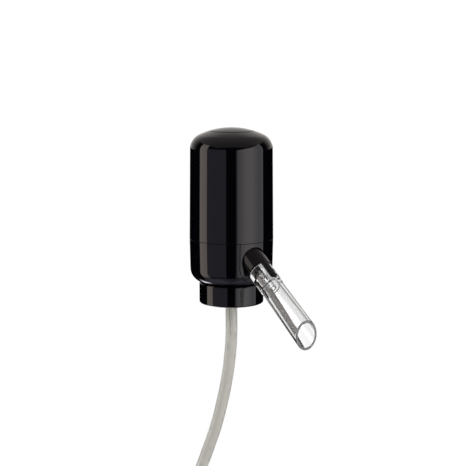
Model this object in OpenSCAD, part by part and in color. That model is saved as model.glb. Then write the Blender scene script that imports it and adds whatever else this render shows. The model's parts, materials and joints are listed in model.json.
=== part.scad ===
// Electric wine dispenser for the neck of a bottle.
// The origin is the centre of the bottle's lip, +Z is up and the spout points along -Y.
// An air pump presses air into the bottle, and the wine rises through the dip tube to the spout.

/* [Bottle fit] */
// Radius of the stopper's sealing ribs
plug_r = 9.4; // [8.8:0.1:10.4]
// Length of the ribbed stopper below the lip
plug_len = 8; // [6:0.5:9]
// Depth of the grooves between the ribs
rib_depth = 0.8; // [0.4:0.1:1.2]
// Length of the stopper's tapered nose
nose_len = 1; // [0.5:0.1:1.8]
// Radius of the passage through the stopper
plug_bore_r = 5.2; // [4.8:0.1:6]
// Thickness of the stopper's flange on the lip
flange_t = 1.5; // [1:0.1:2.5]
// Inner radius of the collar around the lip
lip_r = 15.2; // [14.6:0.1:16.5]
// Outer radius of the collar
collar_r = 20.4; // [19.5:0.1:22]
// Depth of the collar below the lip
collar_depth = 9.9; // [9:0.1:14]
// Thickness of the collar's roof
collar_roof = 2; // [1.6:0.1:3]
// Rounding of the collar's edges
collar_fillet = 1.2; // [0.4:0.1:1.6]

/* [Housing] */
// Radius of the body at the seam
seam_r = 26.5; // [26:0.1:29]
// How much slimmer the upper housing is at its shoulder than at the seam
shoulder_draft = 0.5; // [0:0.1:0.7]
// How much slimmer the lower housing is at its foot than at the seam
foot_draft = 0.4; // [0:0.1:0.9]
// Wall of both housings
wall = 2; // [1.6:0.1:2.4]
// Height of the lower housing
lower_h = 27.8; // [27.5:0.1:34]
// Radius of the shoulder between side and top
corner_r = 10; // [6:0.5:12]
// Radius of the crowned top
crown_r = 48; // [44:1:90]
// Rounding of the foot
foot_round = 9; // [7:0.5:10]
// Gap at the seam between the housings
seam_gap = 0.2; // [0.1:0.05:0.5]
// Height of the tongue that enters the upper housing
tongue_h = 2.8; // [1.5:0.1:4]
// Thickness of the tongue
tongue_t = 0.9; // [0.7:0.1:1.2]
// Gap between the tongue and the upper housing
lap_gap = 0.3; // [0.2:0.05:0.5]

/* [Button] */
// Radius of the top button
button_r = 13.7; // [11:0.1:14.5]
// Gap around the button
button_gap = 0.25; // [0.2:0.05:0.5]
// Height of the crown above the floor of the button's well
well_depth = 8.2; // [7.2:0.1:18]
// Thickness of the button's cap
cap_t = 2.2; // [1.6:0.1:3]
// Depth of the button's skirt
skirt_h = 4.5; // [3:0.1:5]
// Radius of the button's stem
stem_r = 2.6; // [2.4:0.1:3.2]
// How far the button goes down
button_travel = 0.8; // [0.4:0.1:1]
// Mean radius of the return spring
return_coil_r = 5; // [4.6:0.1:6.5]
// Radius of the return spring's wire
return_wire_r = 0.3; // [0.2:0.05:0.35]
// Thickness of the clip that keeps the button in
clip_t = 0.7; // [0.5:0.1:1]

/* [Spout] */
// Slope of the spout below the horizontal, in degrees
spout_slope = 33; // [30:0.5:36]
// Height of the spout's axis above the lip, at the body's side
spout_z = 18.8; // [18:0.1:20]
// Width of the panel that carries the spout
panel_w = 20; // [18.5:0.5:21]
// Height of the panel's lowest point above the housing's underside
panel_foot = 2.5; // [2:0.1:4]
// Gap around the panel and around the boss
panel_gap = 0.15; // [0.1:0.05:0.3]
// Radius of the boss
boss_r = 8.2; // [8:0.1:8.4]
// Length of the boss along the spout's axis, from the body's side
boss_len = 7.5; // [5:0.5:12]
// Length of the clear spout from the boss to its tip
spout_len = 57; // [45:1:70]
// Radius of the clear spout's root sleeve
sleeve_r = 7.6; // [7.4:0.1:7.9]
// Length of the root sleeve
sleeve_len = 15; // [14:0.5:20]
// Radius of the clear tube past the sleeve
tube_r = 7.1; // [6.9:0.1:7.6]
// Radius of the clear tube at its tip
tip_r = 7.7; // [7.2:0.1:9]
// Wall of the clear tube at its tip
spout_wall = 1.2; // [0.9:0.1:1.6]
// Width of the notch in the root sleeve
notch_w = 5; // [4:0.1:6]
// Length of the clear wall between the notch's end and the sleeve's end
notch_land = 1.5; // [1:0.1:3]
// Radius of the nozzle core's spigot
spigot_r = 4.6; // [4.4:0.05:5]
// Length of the spigot past the boss
spigot_len = 6; // [5:0.5:8]
// Radial clearance of the clear spout on its spigot
slide_clear = 0.05; // [0.02:0.01:0.1]
// Radius of the small nozzle inside the spout
nozzle_r = 2.4; // [2.2:0.1:2.8]
// Radius of the wine's passage
wine_bore_r = 1.6; // [1.2:0.1:1.8]
// Distance of the riser from the body's side
riser_inset = 10.5; // [10:0.1:11]

/* [Power] */
// Radius of a cell
cell_r = 5.25; // [5:0.05:5.4]
// Length of a cell with its nub
cell_len = 44.5; // [43.5:0.1:45.5]
// Radius of a cell's nub
nub_r = 1.9; // [1.5:0.1:2.5]
// Height of a cell's nub
nub_h = 0.8; // [0.5:0.1:1.2]
// Gap between the cells and the upper housing
cell_gap = 0.6; // [0.4:0.1:1]
// Height of a pressed cell spring
cell_spring_h = 2.6; // [2.4:0.1:3.2]
// Thickness of the deck under the cells
deck_t = 2; // [1.6:0.1:2.6]
// Thickness of the cage's tower wall
tower_t = 0.9; // [0.7:0.1:1.1]
// Thickness of the cage's top plate
top_plate_t = 1.6; // [1.2:0.1:2]
// Thickness of the circuit board
board_t = 1.6; // [1:0.1:2]
// Room between the circuit board and the upper housing
board_room = 4; // [2:0.5:5]

/* [Pump] */
// Room between the motor and the cage's tower
motor_room = 1.7; // [1.2:0.1:3.2]
// How far the motor's end cap stops below the tops of the cells
motor_drop = 0; // [-0.2:0.1:4]
// Height of the motor's end cap
motor_cap_h = 3.5; // [2.5:0.1:4]
// Radius of the motor shaft
shaft_r = 1; // [0.8:0.05:1.2]
// Running clearance of the shaft
shaft_clear = 0.05; // [0.02:0.01:0.1]
// Height of the pump body
pump_body_h = 18; // [17:0.5:19]
// Wall of the pump body
pump_wall = 1; // [0.8:0.1:1.2]
// Room around the cam in the pump body
cam_room = 4.4; // [3.9:0.1:5.4]
// Tilt of the drive plate each way, in degrees
wobble = 4; // [2:0.5:5]

/* [Dip tube] */
// Outer radius of the dip tube
dip_r = 3.75; // [3.4:0.05:4]
// Radius of the dip tube's bore
dip_bore_r = 2.5; // [2.3:0.05:2.7]

/* [Hidden] */
$fn = 64;

// Colours as the photograph and the trade show them
gloss_black = "#101013";
satin_black = "#1b1b1e";
clear_grey = [0.86, 0.88, 0.9, 0.45];
silicone = "#c9c6bd";
steel = "#a9abad";
cage_grey = "#3a3b3f";

// Small clearances: two still faces, faces that meet in use, a part that runs free, a screw in its hole
seat_gap = 0.02;
touch_gap = 0.2;
free_gap = 0.3;
screw_gap = 0.15;

// Fillets and segments of the drawn outlines
arc_steps = 12;
edge_round = 0.6;

// Levels of the bottle fit and the housings
body_z = flange_t + collar_roof;
shoulder_r = seam_r - shoulder_draft;
foot_r = seam_r - foot_draft;
floor_top = body_z + wall;
seam_z = body_z + lower_h;
cover_z = seam_z + seam_gap;
foot_cx = foot_r - foot_round;
foot_cz = body_z + foot_round;
tongue_ro = seam_r - wall - lap_gap;
tongue_ri = tongue_ro - tongue_t;
tongue_root = 4;

// Stopper
neck_wall = 1.7;
neck_r = plug_bore_r + neck_wall;
flange_gap = 0.6;
flange_r = lip_r - flange_gap;
rib_count = 3;
groove_h = 1;
rib_h = (plug_len - (rib_count - 1) * groove_h) / rib_count;

// Screws: shank, head and head height
screw_r = 1;
screw_head_r = 1.9;
screw_head_h = 1.4;

// Deck, cage and cells, from the deck upwards
deck_drop = 1.3;
deck_z = seam_z - deck_drop;
deck_top = deck_z + deck_t;
deck_gap = 0.2;
deck_r = tongue_ri - deck_gap;
plate_t = 0.4;
cell_z = deck_top + plate_t + cell_spring_h;
cell_top = cell_z + cell_len;
cell_ring_r = shoulder_r - wall - cell_gap - cell_r;
cell_angles = [45, 135, 225, 315];
tower_ro = cell_ring_r - cell_r - free_gap;
tower_ri = tower_ro - tower_t;
top_plate_z = cell_top + plate_t;
top_plate_top = top_plate_z + top_plate_t;
top_plate_over = 4;
top_plate_r = cell_ring_r + top_plate_over;
fin_t = 1.2;
fin_len = 4;
deck_screw_in = 6.3;
deck_screw_r = seam_r - deck_screw_in;
deck_screw_angles = [0, 90, 180];
deck_boss_r = 3;
deck_screw_len = 8;
contact_r = 3.6;
rivet_r = 0.7;

// Circuit board and switch
standoff_h = 1.5;
standoff_r = 2.4;
board_r = shoulder_r - wall - board_room;
board_z = top_plate_top + standoff_h;
board_top = board_z + board_t;
board_screw_in = 3.5;
board_screw_ring = board_r - board_screw_in;
board_screw_angles = [90, 210, 330];
switch_w = 6;
switch_h = 3.5;
plunger_r = 1.7;
plunger_up = 1.9;
plunger_in = 2;
plunger_top = board_top + switch_h + plunger_up;
switch_floor = switch_h - plunger_in - button_travel - 2 * touch_gap;

// Button, its well in the upper housing, stem and spring
open_r = button_r + button_gap;
stem_end = plunger_top + touch_gap;
stem_tail = 1;
clip_z = stem_end + stem_tail;
well_bottom = clip_z + clip_t + touch_gap;
well_floor_t = 1.2;
well_top = well_bottom + well_floor_t;
well_wall = 1.2;
crown_z = well_top + well_depth;
crown_cz = crown_z - crown_r;
corner_cx = shoulder_r - corner_r;
corner_cz = crown_cz + sqrt(pow(crown_r - corner_r, 2) - pow(corner_cx, 2));
tangent_a = atan2(corner_cz - crown_cz, corner_cx);
clip_depth = 0.6;
clip_groove_r = stem_r - clip_depth;
clip_over = 1.8;
clip_r = stem_r + clip_over;
button_edge_z = crown_cz + sqrt(pow(crown_r, 2) - pow(button_r, 2));
coil_land = 1;
button_under = crown_cz + sqrt(pow(crown_r - cap_t, 2) - pow(return_coil_r + coil_land, 2));
skirt_t = 1.4;
return_curls = 4;

// Spout, boss and nozzle along the spout's axis
spout_t0 = boss_len + touch_gap;
step_t = spout_t0 + sleeve_len;
notch_len = sleeve_len - notch_land;
sleeve_round = 0.6;
bore_r = spigot_r + slide_clear;
tip_reach = (boss_len + spout_len) * cos(spout_slope);
slot_cz = body_z + panel_foot + panel_w / 2;
plate_depth = 3.4;
plate_back = seam_r - wall - plate_depth;
boss_plate_t = 1.5;
boss_plate_w = 16;
boss_plate_drop = 1.5;
boss_plate_z = foot_cz - boss_plate_drop;
boss_deck_gap = 0.5;
boss_top = deck_z - boss_deck_gap;
spigot_in = -4;
arm_r = 3.2;
arm_end = 2.2;
riser_y = seam_r - riser_inset;
riser_t = -riser_inset / cos(spout_slope);
riser_axis_z = spout_z + riser_inset * tan(spout_slope);
nozzle_out = 1.2;
nozzle_t = step_t + nozzle_out;
key_gap = 0.15;
key_drop = 0.1;
key_r = boss_r - key_drop;
seal_t = boss_len + spigot_len / 2;
seal_wire = 0.75;

// Bottle fitting, riser sleeve and air line
gasket_t = 0.6;
fitting_z = floor_top + gasket_t;
fitting_h = 5.9;
fitting_top = fitting_z + fitting_h;
ear_h = 2.5;
ear_r = 2.8;
fitting_flange = 3.8;
fitting_r = plug_bore_r + fitting_flange;
ear_neck = 3;
ear_ring = fitting_r + ear_neck;
ear_angles = [40, 140, 220, 320];
hose_shoulder = -1;
barb_step = 0.55;
barb_root_r = dip_r - barb_step;
barb_gap = 0.15;
barb_r = dip_bore_r - barb_gap;
barb_len = 7;
nipple_r = 2.1;
sleeve_wall = 1;
riser_sleeve_r = nipple_r + sleeve_wall;
arm_under = spout_z + (riser_inset - riser_sleeve_r) * tan(spout_slope) - arm_r / cos(spout_slope);
riser_top = arm_under - free_gap;
riser_nipple = 3;
bore_step = 0.2;
riser_bore_r = wine_bore_r - bore_step;
air_x = fitting_r * 2 / 3;
air_y = fitting_r * 4 / 9;
air_nipple_r = 1.6;
air_bore_r = 0.9;
air_hose_r = 2.6;
valve_r = 3.6;

// Pump stack, from the deck downwards and upwards
pump_r = tower_ri - free_gap;
pump_flange_t = 2;
pump_flange_over = 1.4;
pump_flange_r = pump_r + pump_flange_over;
pump_ear_r = 2.4;
pump_ear_ring = pump_flange_r + pump_ear_r - pump_flange_over;
pump_ear_angles = [90, 210, 330];
pump_cover_h = 3;
pump_cover_top = deck_z + pump_cover_h;
valve_plate_t = 2;
valve_stem_r = 0.95;
diaphragm_z = pump_cover_top + valve_plate_t;
diaphragm_t = 1;
pump_body_z = diaphragm_z + diaphragm_t;
pump_body_top = pump_body_z + pump_body_h;
pump_roof_t = 2;
drive_room = 1.8;
drive_r = pump_r - pump_wall - drive_room;
cup_in = 2.4;
cup_ring = drive_r - cup_in;
cup_share = 0.516;
cup_r = cup_share * cup_ring;
cup_h = 2.4;
cup_wall = 0.8;
stud_r = 1;
cup_angles = [30, 150, 270];
post_r = 1.6;
post_h = 2.9;
post_top = pump_body_z + post_h;
drive_z = post_top + free_gap;
drive_t = 1.6;
pin_r = 0.75;
pin_h = 7.8;
pin_top = drive_z + pin_h;
cam_lift = 4.3;
cam_z = drive_z + cam_lift;
cam_r = pump_r - pump_wall - cam_room;
cam_h = 6.3;
cam_recess_r = pin_r + 2 * (pin_top - post_top) * sin(wobble) + free_gap;
pin_end_gap = 0.8;
cam_recess_h = pin_top - cam_z + pin_end_gap;
motor_r = tower_ri - motor_room;
motor_screw_ring = 0.6 * motor_r;
motor_boss_r = motor_screw_ring / 2;
motor_boss_h = 1.5;
motor_len = cell_top - motor_drop - motor_cap_h - pump_body_top;
motor_top = pump_body_top + motor_len;
motor_cap_step = 1.4;
motor_cap_r = motor_r - motor_cap_step;
motor_cap_top = motor_top + motor_cap_h;
shaft_out = 0.6;
shaft_top = motor_cap_top + shaft_out;
motor_screw_in = 2;
lead_x = 0.65 * motor_r;
lead_r = 0.6;

// Dip tube: its lean, seen from above, and its route as distance from the axis and height
dip_lean = 147;
dip_route = [
    [0, -1], [0, -16], [0, -31], [1, -46], [3, -61], [6, -76], [10, -92], [15, -107], [20, -121],
    [25, -137], [28, -153], [30, -170], [31, -190], [31, -212], [31, -236], [31, -262]
];
dip_sides = 12;

// Spring wire drawn along a helix
wire_sides = 6;
rings_per_curl = 8;

// Points of an arc in a profile, from angle a to angle b
function arc(cx, cz, r, a, b, steps = arc_steps) =
    [for (i = [0:steps]) let (t = a + (b - a) * i / steps) [cx + r * cos(t), cz + r * sin(t)]];

function reversed(list) = [for (i = [len(list) - 1:-1:0]) list[i]];

// Directions along a path, for the rings of a swept tube
function path_dir(p, i) =
    let (a = p[max(i - 1, 0)], b = p[min(i + 1, len(p) - 1)]) (b - a) / norm(b - a);

function ring_points(p, dir, ref, r, sides) =
    let (u = cross(ref, dir), e1 = u / norm(u), e2 = cross(dir, e1))
    [for (k = [0:sides - 1]) p + r * (cos(360 * k / sides) * e1 + sin(360 * k / sides) * e2)];

function swept_points(path, ref, r, sides) =
    [for (i = [0:len(path) - 1]) each ring_points(path[i], path_dir(path, i), ref, r, sides)];

function side_faces(rings, sides, first, flip) =
    [for (i = [0:rings - 2], k = [0:sides - 1], half = [0, 1])
        let (a = first + i * sides + k, b = first + i * sides + (k + 1) % sides,
             tri = half == 0 ? [a, a + sides, b] : [b, a + sides, b + sides])
        flip ? reversed(tri) : tri];

// A wire along a path: one closed tube with flat ends
module swept_wire(path, ref, r, sides) {
    n = len(path);
    last = (n - 1) * sides;
    near = [for (k = [1:sides - 2]) [0, k, k + 1]];
    far = [for (k = [1:sides - 2]) [last, last + k + 1, last + k]];
    polyhedron(swept_points(path, ref, r, sides), concat(side_faces(n, sides, 0, false), near, far));
}

// A hose along a path: an outer and an inner skin joined by a ring at each end
module swept_hose(path, ref, r, bore, sides) {
    n = len(path);
    inner = n * sides;
    last = (n - 1) * sides;
    points = concat(swept_points(path, ref, r, sides), swept_points(path, ref, bore, sides));
    near = [for (k = [0:sides - 1]) let (m = (k + 1) % sides)
        each [[k, m, inner + k], [inner + k, m, inner + m]]];
    far = [for (k = [0:sides - 1]) let (m = (k + 1) % sides)
        each [[last + k, inner + last + k, last + m], [inner + last + k, inner + last + m, last + m]]];
    skins = concat(side_faces(n, sides, 0, false), side_faces(n, sides, inner, true));
    polyhedron(points, concat(skins, near, far));
}

// Centre line of a coil spring that stands on height z
function coil_path(r, z, h, wire, curls) =
    let (steps = curls * rings_per_curl)
    [for (i = [0:steps])
        let (a = 360 * i / rings_per_curl)
        [r * cos(a), r * sin(a), z + wire + (h - 2 * wire) * i / steps]];

// Least gap between a wire and itself, past three quarters of a curl
function least_gap(path, wire) =
    min([for (i = [0:len(path) - 1], j = [i + 6:1:len(path) - 1]) norm(path[i] - path[j])]) - 2 * wire;

module ring(ro, ri, h) {
    difference() {
        cylinder(r = ro, h = h);
        translate([0, 0, -1]) cylinder(r = ri, h = h + 2);
    }
}

module around(angles, r) {
    for (a = angles) rotate([0, 0, a]) translate([r, 0, 0]) children();
}

// Local frame of the spout: +Z runs outwards along its axis and +Y is its upper side
module at_spout(t = 0) {
    translate([0, -seam_r, spout_z]) rotate([90 + spout_slope, 0, 0]) translate([0, 0, t]) children();
}

// A screw that points down from the origin, with its head above
module screw(len) {
    translate([0, 0, -len]) cylinder(r = screw_r, h = len);
    cylinder(r = screw_head_r, h = screw_head_h);
}

// Upper housing: shoulder, crown and the well that guides the button
module upper_housing() {
    outer = concat(
        [[seam_r, cover_z]],
        arc(corner_cx, corner_cz, corner_r, 0, tangent_a),
        arc(0, crown_cz, crown_r, tangent_a, acos(open_r / crown_r))
    );
    well_r = open_r + well_wall;
    well = [
        [open_r, well_top], [stem_r + button_gap, well_top], [stem_r + button_gap, well_bottom],
        [well_r, well_bottom]
    ];
    inner = concat(
        arc(0, crown_cz, crown_r - wall, acos(well_r / (crown_r - wall)), tangent_a),
        arc(corner_cx, corner_cz, corner_r - wall, tangent_a, 0),
        [[seam_r - wall, cover_z]]
    );
    color(gloss_black) rotate_extrude() polygon(concat(outer, well, inner));
}

// Button with its skirt and a stem that ends above the switch
module top_button() {
    skirt_z = button_edge_z - skirt_h;
    edge_a = acos((button_r - edge_round) / crown_r);
    profile = concat(
        [[0, stem_end], [stem_r, stem_end], [stem_r, clip_z], [clip_groove_r, clip_z]],
        [[clip_groove_r, clip_z + clip_t], [stem_r, clip_z + clip_t], [stem_r, button_under]],
        [[button_r - skirt_t, button_under], [button_r - skirt_t, skirt_z], [button_r, skirt_z]],
        [[button_r, button_edge_z - edge_round]],
        arc(0, crown_cz, crown_r, edge_a, 90)
    );
    color(satin_black) rotate_extrude() polygon(profile);
}

return_path = coil_path(return_coil_r, well_top, button_under - well_top, return_wire_r, return_curls);

module button_spring() {
    echo(button_spring_least_gap = least_gap(return_path, return_wire_r));
    color(steel) swept_wire(return_path, [0, 0, 1], return_wire_r, wire_sides);
}

module button_clip() {
    slit_share = 1.2;
    slit = clip_groove_r * slit_share;
    color(steel) translate([0, 0, clip_z]) difference() {
        ring(clip_r, clip_groove_r, clip_t);
        translate([0, -slit / 2, -1]) cube([clip_r + 1, slit, clip_t + 2]);
    }
}

// Wall of the lower housing, shared by the housing and the panel in its slot
module lower_shell() {
    outer = concat([[plug_bore_r, body_z]], arc(foot_cx, foot_cz, foot_round, -90, 0), [[seam_r, seam_z]]);
    inner = concat(
        [[seam_r - wall, seam_z]],
        arc(foot_cx, foot_cz, foot_round - wall, 0, -90),
        [[plug_bore_r, floor_top]]
    );
    rotate_extrude() polygon(concat(outer, inner));
}

// Outline of the panel's slot, pushed through the front wall
module panel_prism(gap) {
    reach_in = 8;
    depth = wall + reach_in;
    translate([0, -seam_r - 1 + depth, 0]) rotate([90, 0, 0]) linear_extrude(depth) {
        translate([0, slot_cz]) circle(panel_w / 2 - gap);
        translate([-panel_w / 2 + gap, slot_cz]) square([panel_w - 2 * gap, seam_z - slot_cz]);
    }
}

// Lower housing with its tongue and the bosses that carry the deck
module lower_housing() {
    overlap = 0.5;
    tongue = [
        [seam_r - wall + overlap, seam_z - tongue_root - tongue_t], [tongue_ri, seam_z - tongue_root],
        [tongue_ri, seam_z + tongue_h], [tongue_ro, seam_z + tongue_h], [tongue_ro, seam_z],
        [seam_r - wall + overlap, seam_z]
    ];
    filled = concat(
        [[0, body_z]],
        arc(foot_cx, foot_cz, foot_round - wall / 2, -90, 0),
        [[seam_r - wall / 2, seam_z], [0, seam_z]]
    );
    color(gloss_black) difference() {
        union() {
            lower_shell();
            rotate_extrude() polygon(tongue);
            intersection() {
                rotate_extrude() polygon(filled);
                around(deck_screw_angles, deck_screw_r)
                    translate([0, 0, body_z]) cylinder(r = deck_boss_r, h = deck_z - body_z);
            }
        }
        panel_prism(0);
        around(ear_angles, ear_ring) translate([0, 0, body_z - 1])
            cylinder(r = screw_r + screw_gap, h = wall + 2);
        around(deck_screw_angles, deck_screw_r) translate([0, 0, deck_top - deck_screw_len - 1])
            cylinder(r = screw_r + seat_gap, h = deck_screw_len + 1);
    }
}

module spout_panel() {
    color(gloss_black) difference() {
        intersection() {
            lower_shell();
            panel_prism(panel_gap);
        }
        at_spout(-panel_w) cylinder(r = boss_r + panel_gap, h = 2 * panel_w);
    }
}

// Boss through the panel, backed by a flat plate inside the housing, with the tongue for the spout's notch
module spout_boss() {
    reach = 2 * seam_r;
    key_w = notch_w - 2 * key_gap;
    key_end = spout_t0 + notch_len - notch_w / 2 - key_gap;
    color(gloss_black) difference() {
        union() {
            intersection() {
                at_spout(-reach / 2) cylinder(r = boss_r, h = boss_len + reach / 2);
                translate([-seam_r, -plate_back - reach, 0]) cube([2 * seam_r, reach, boss_top]);
            }
            translate([-boss_plate_w / 2, -plate_back - boss_plate_t, boss_plate_z])
                cube([boss_plate_w, boss_plate_t, boss_top - boss_plate_z]);
            at_spout() intersection() {
                union() {
                    translate([-key_w / 2, nozzle_r, boss_len - 1])
                        cube([key_w, boss_r, key_end - boss_len + 1]);
                    translate([0, nozzle_r, key_end]) rotate([-90, 0, 0])
                        cylinder(r = key_w / 2, h = boss_r);
                }
                cylinder(r = key_r, h = step_t);
            }
        }
        at_spout(-reach / 2) cylinder(r = spigot_r + seat_gap, h = reach);
    }
}

// Clear nozzle core: spigot, small nozzle and the arm to the riser
module nozzle_core() {
    groove_w = 2 * seal_wire + touch_gap;
    color(clear_grey) difference() {
        union() {
            at_spout(spigot_in) cylinder(r = spigot_r, h = boss_len + spigot_len - spigot_in);
            at_spout(riser_t - arm_end) cylinder(r = arm_r, h = spigot_in - riser_t + arm_end + 1);
            at_spout(boss_len) cylinder(r = nozzle_r, h = nozzle_t - boss_len);
            translate([0, -riser_y, riser_top - riser_nipple])
                cylinder(r = nipple_r, h = riser_axis_z - riser_top + riser_nipple);
        }
        at_spout(riser_t - wine_bore_r) cylinder(r = wine_bore_r, h = nozzle_t - riser_t + wine_bore_r + 1);
        translate([0, -riser_y, riser_top - riser_nipple - 1])
            cylinder(r = riser_bore_r, h = riser_axis_z - riser_top + riser_nipple + 1);
        at_spout(seal_t - groove_w / 2) ring(spigot_r + 1, spigot_r - 2 * seal_wire, groove_w);
    }
}

// O-ring that holds the clear spout
module nozzle_seal() {
    color(satin_black) at_spout(seal_t) rotate_extrude() translate([spigot_r - seal_wire, 0])
        circle(seal_wire - seat_gap);
}

// Clear spout: root sleeve with its notch, tube with a bore that widens to the tip, and an upright cut there
module clear_spout() {
    end_t = boss_len + spout_len + tip_r;
    bore_end = step_t - 2 * sleeve_round;
    profile = [
        [bore_r, spout_t0], [sleeve_r, spout_t0], [sleeve_r, step_t - sleeve_round], [tube_r, step_t],
        [tip_r, end_t], [tip_r - spout_wall, end_t], [bore_r, bore_end]
    ];
    big = 4 * tip_r;
    tip_z = spout_z - (boss_len + spout_len) * sin(spout_slope);
    notch_round_t = spout_t0 + notch_len - notch_w / 2;
    color(clear_grey) difference() {
        at_spout() rotate_extrude() polygon(profile);
        at_spout() {
            translate([-notch_w / 2, 0, spout_t0 - 1]) cube([notch_w, big, notch_len - notch_w / 2 + 1]);
            translate([0, 0, notch_round_t]) rotate([-90, 0, 0]) cylinder(r = notch_w / 2, h = big);
        }
        translate([-big / 2, -seam_r - tip_reach - big, tip_z - big]) cube([big, big, 2 * big]);
    }
}

// Collar around the bottle's lip, with the hole for the stopper's neck
module bottle_collar() {
    f = collar_fillet;
    profile = concat(
        [[neck_r + seat_gap, flange_t], [lip_r, flange_t], [lip_r, -collar_depth]],
        arc(collar_r - f, f - collar_depth, f, -90, 0),
        arc(collar_r - f, body_z - f, f, 0, 90),
        [[neck_r + seat_gap, body_z]]
    );
    color(gloss_black) difference() {
        rotate_extrude() polygon(profile);
        around(ear_angles, ear_ring) translate([0, 0, flange_t - 1])
            cylinder(r = screw_r + seat_gap, h = collar_roof + 2);
    }
}

module collar_screws() {
    tip_gap = 0.4;
    color(steel) around(ear_angles, ear_ring) translate([0, 0, fitting_z + ear_h])
        screw(fitting_z + ear_h - flange_t - tip_gap);
}

// Silicone stopper: flange under the collar's roof, three ribs and a tapered nose
module stopper_plug() {
    ribs = [for (i = [0:rib_count - 1]) let (z = -i * (rib_h + groove_h))
        each [[plug_r, z], [plug_r, z - rib_h], [plug_r - rib_depth, z - rib_h],
              [plug_r - rib_depth, i < rib_count - 1 ? z - rib_h - groove_h : z - rib_h]]];
    profile = concat(
        [[plug_bore_r, body_z], [neck_r, body_z], [neck_r, flange_t], [flange_r, flange_t], [flange_r, 0]],
        [for (i = [0:len(ribs) - 3]) ribs[i]],
        [[plug_r - rib_depth, -plug_len - nose_len], [plug_bore_r, -plug_len - nose_len]]
    );
    color(silicone) rotate_extrude() polygon(profile);
}

// Dip tube that hangs from the barb
module dip_tube() {
    path = [for (p = dip_route) [p[0] * cos(dip_lean), p[0] * sin(dip_lean), p[1]]];
    color(silicone) swept_hose(path, [-sin(dip_lean), cos(dip_lean), 0], dip_r, dip_bore_r, dip_sides);
}

// Fitting that joins the hose barb, the riser and the air line
module bottle_fitting() {
    bar_w = 8;
    wine_z = fitting_z + fitting_h / 2;
    air_top = [air_x, air_y, fitting_top + 1];
    air_in = (barb_root_r + plug_bore_r) / 2 / norm([air_x, air_y]);
    air_foot = [air_x * air_in, air_y * air_in, fitting_z - 1];
    air_dir = air_top - air_foot;
    color("#d8d8d4") difference() {
        union() {
            translate([0, 0, fitting_z]) cylinder(r = fitting_r, h = fitting_h);
            translate([-bar_w / 2, -riser_y - riser_sleeve_r, fitting_z])
                cube([bar_w, riser_y + riser_sleeve_r, fitting_h]);
            around(ear_angles, ear_ring) translate([0, 0, fitting_z]) {
                cylinder(r = ear_r, h = ear_h);
                translate([-ear_ring + fitting_r / 2, -ear_r, 0])
                    cube([ear_ring - fitting_r / 2, 2 * ear_r, ear_h]);
            }
            translate([0, 0, hose_shoulder]) cylinder(r = barb_root_r, h = fitting_z - hose_shoulder + 1);
            translate([0, 0, hose_shoulder - barb_len]) cylinder(r = barb_r, h = barb_len + 1);
            translate([0, -riser_y, fitting_top - 1]) cylinder(r = nipple_r, h = riser_nipple + 1);
            translate([air_x, air_y, fitting_top - 1]) cylinder(r = air_nipple_r, h = riser_nipple);
        }
        translate([0, 0, hose_shoulder - barb_len - 1])
            cylinder(r = riser_bore_r, h = wine_z - hose_shoulder + barb_len + 1);
        translate([0, wine_bore_r, wine_z]) rotate([90, 0, 0])
            cylinder(r = wine_bore_r, h = riser_y + 2 * wine_bore_r);
        translate([0, -riser_y, wine_z]) cylinder(r = riser_bore_r, h = fitting_h + riser_nipple);
        translate([air_x, air_y, fitting_top]) cylinder(r = air_bore_r, h = riser_nipple + 1);
        translate(air_foot) rotate([0, acos(air_dir[2] / norm(air_dir)), atan2(air_dir[1], air_dir[0])])
            cylinder(r = air_bore_r, h = norm(air_dir));
        around(ear_angles, ear_ring) translate([0, 0, fitting_z - 1])
            cylinder(r = screw_r + screw_gap, h = ear_h + 2);
    }
}

module fitting_gasket() {
    inner_gap = 0.4;
    color("#7a2e2a") translate([0, 0, floor_top]) ring(fitting_r, plug_bore_r + inner_gap, gasket_t);
}

module riser_sleeve() {
    color(silicone) translate([0, -riser_y, fitting_top])
        ring(riser_sleeve_r, nipple_r + seat_gap, riser_top - fitting_top);
}

// Air line between pump and fitting, with the check valve in the middle
air_low = fitting_top;
air_high = deck_z - pump_flange_t;
valve_h = 4.2;
valve_z = (air_low + air_high - valve_h) / 2;
valve_nipple = 2;

module air_hoses() {
    color(silicone) translate([air_x, air_y, 0]) {
        translate([0, 0, air_low]) ring(air_hose_r, air_nipple_r + seat_gap, valve_z - air_low);
        translate([0, 0, valve_z + valve_h])
            ring(air_hose_r, air_nipple_r + seat_gap, air_high - valve_z - valve_h);
    }
}

module air_check_valve() {
    color("#e6e4dc") translate([air_x, air_y, valve_z - valve_nipple]) difference() {
        union() {
            cylinder(r = air_nipple_r, h = valve_h + 2 * valve_nipple);
            translate([0, 0, valve_nipple]) cylinder(r = valve_r, h = valve_h);
        }
        translate([0, 0, -1]) cylinder(r = air_bore_r, h = valve_h + 2 * valve_nipple + 2);
    }
}

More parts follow.
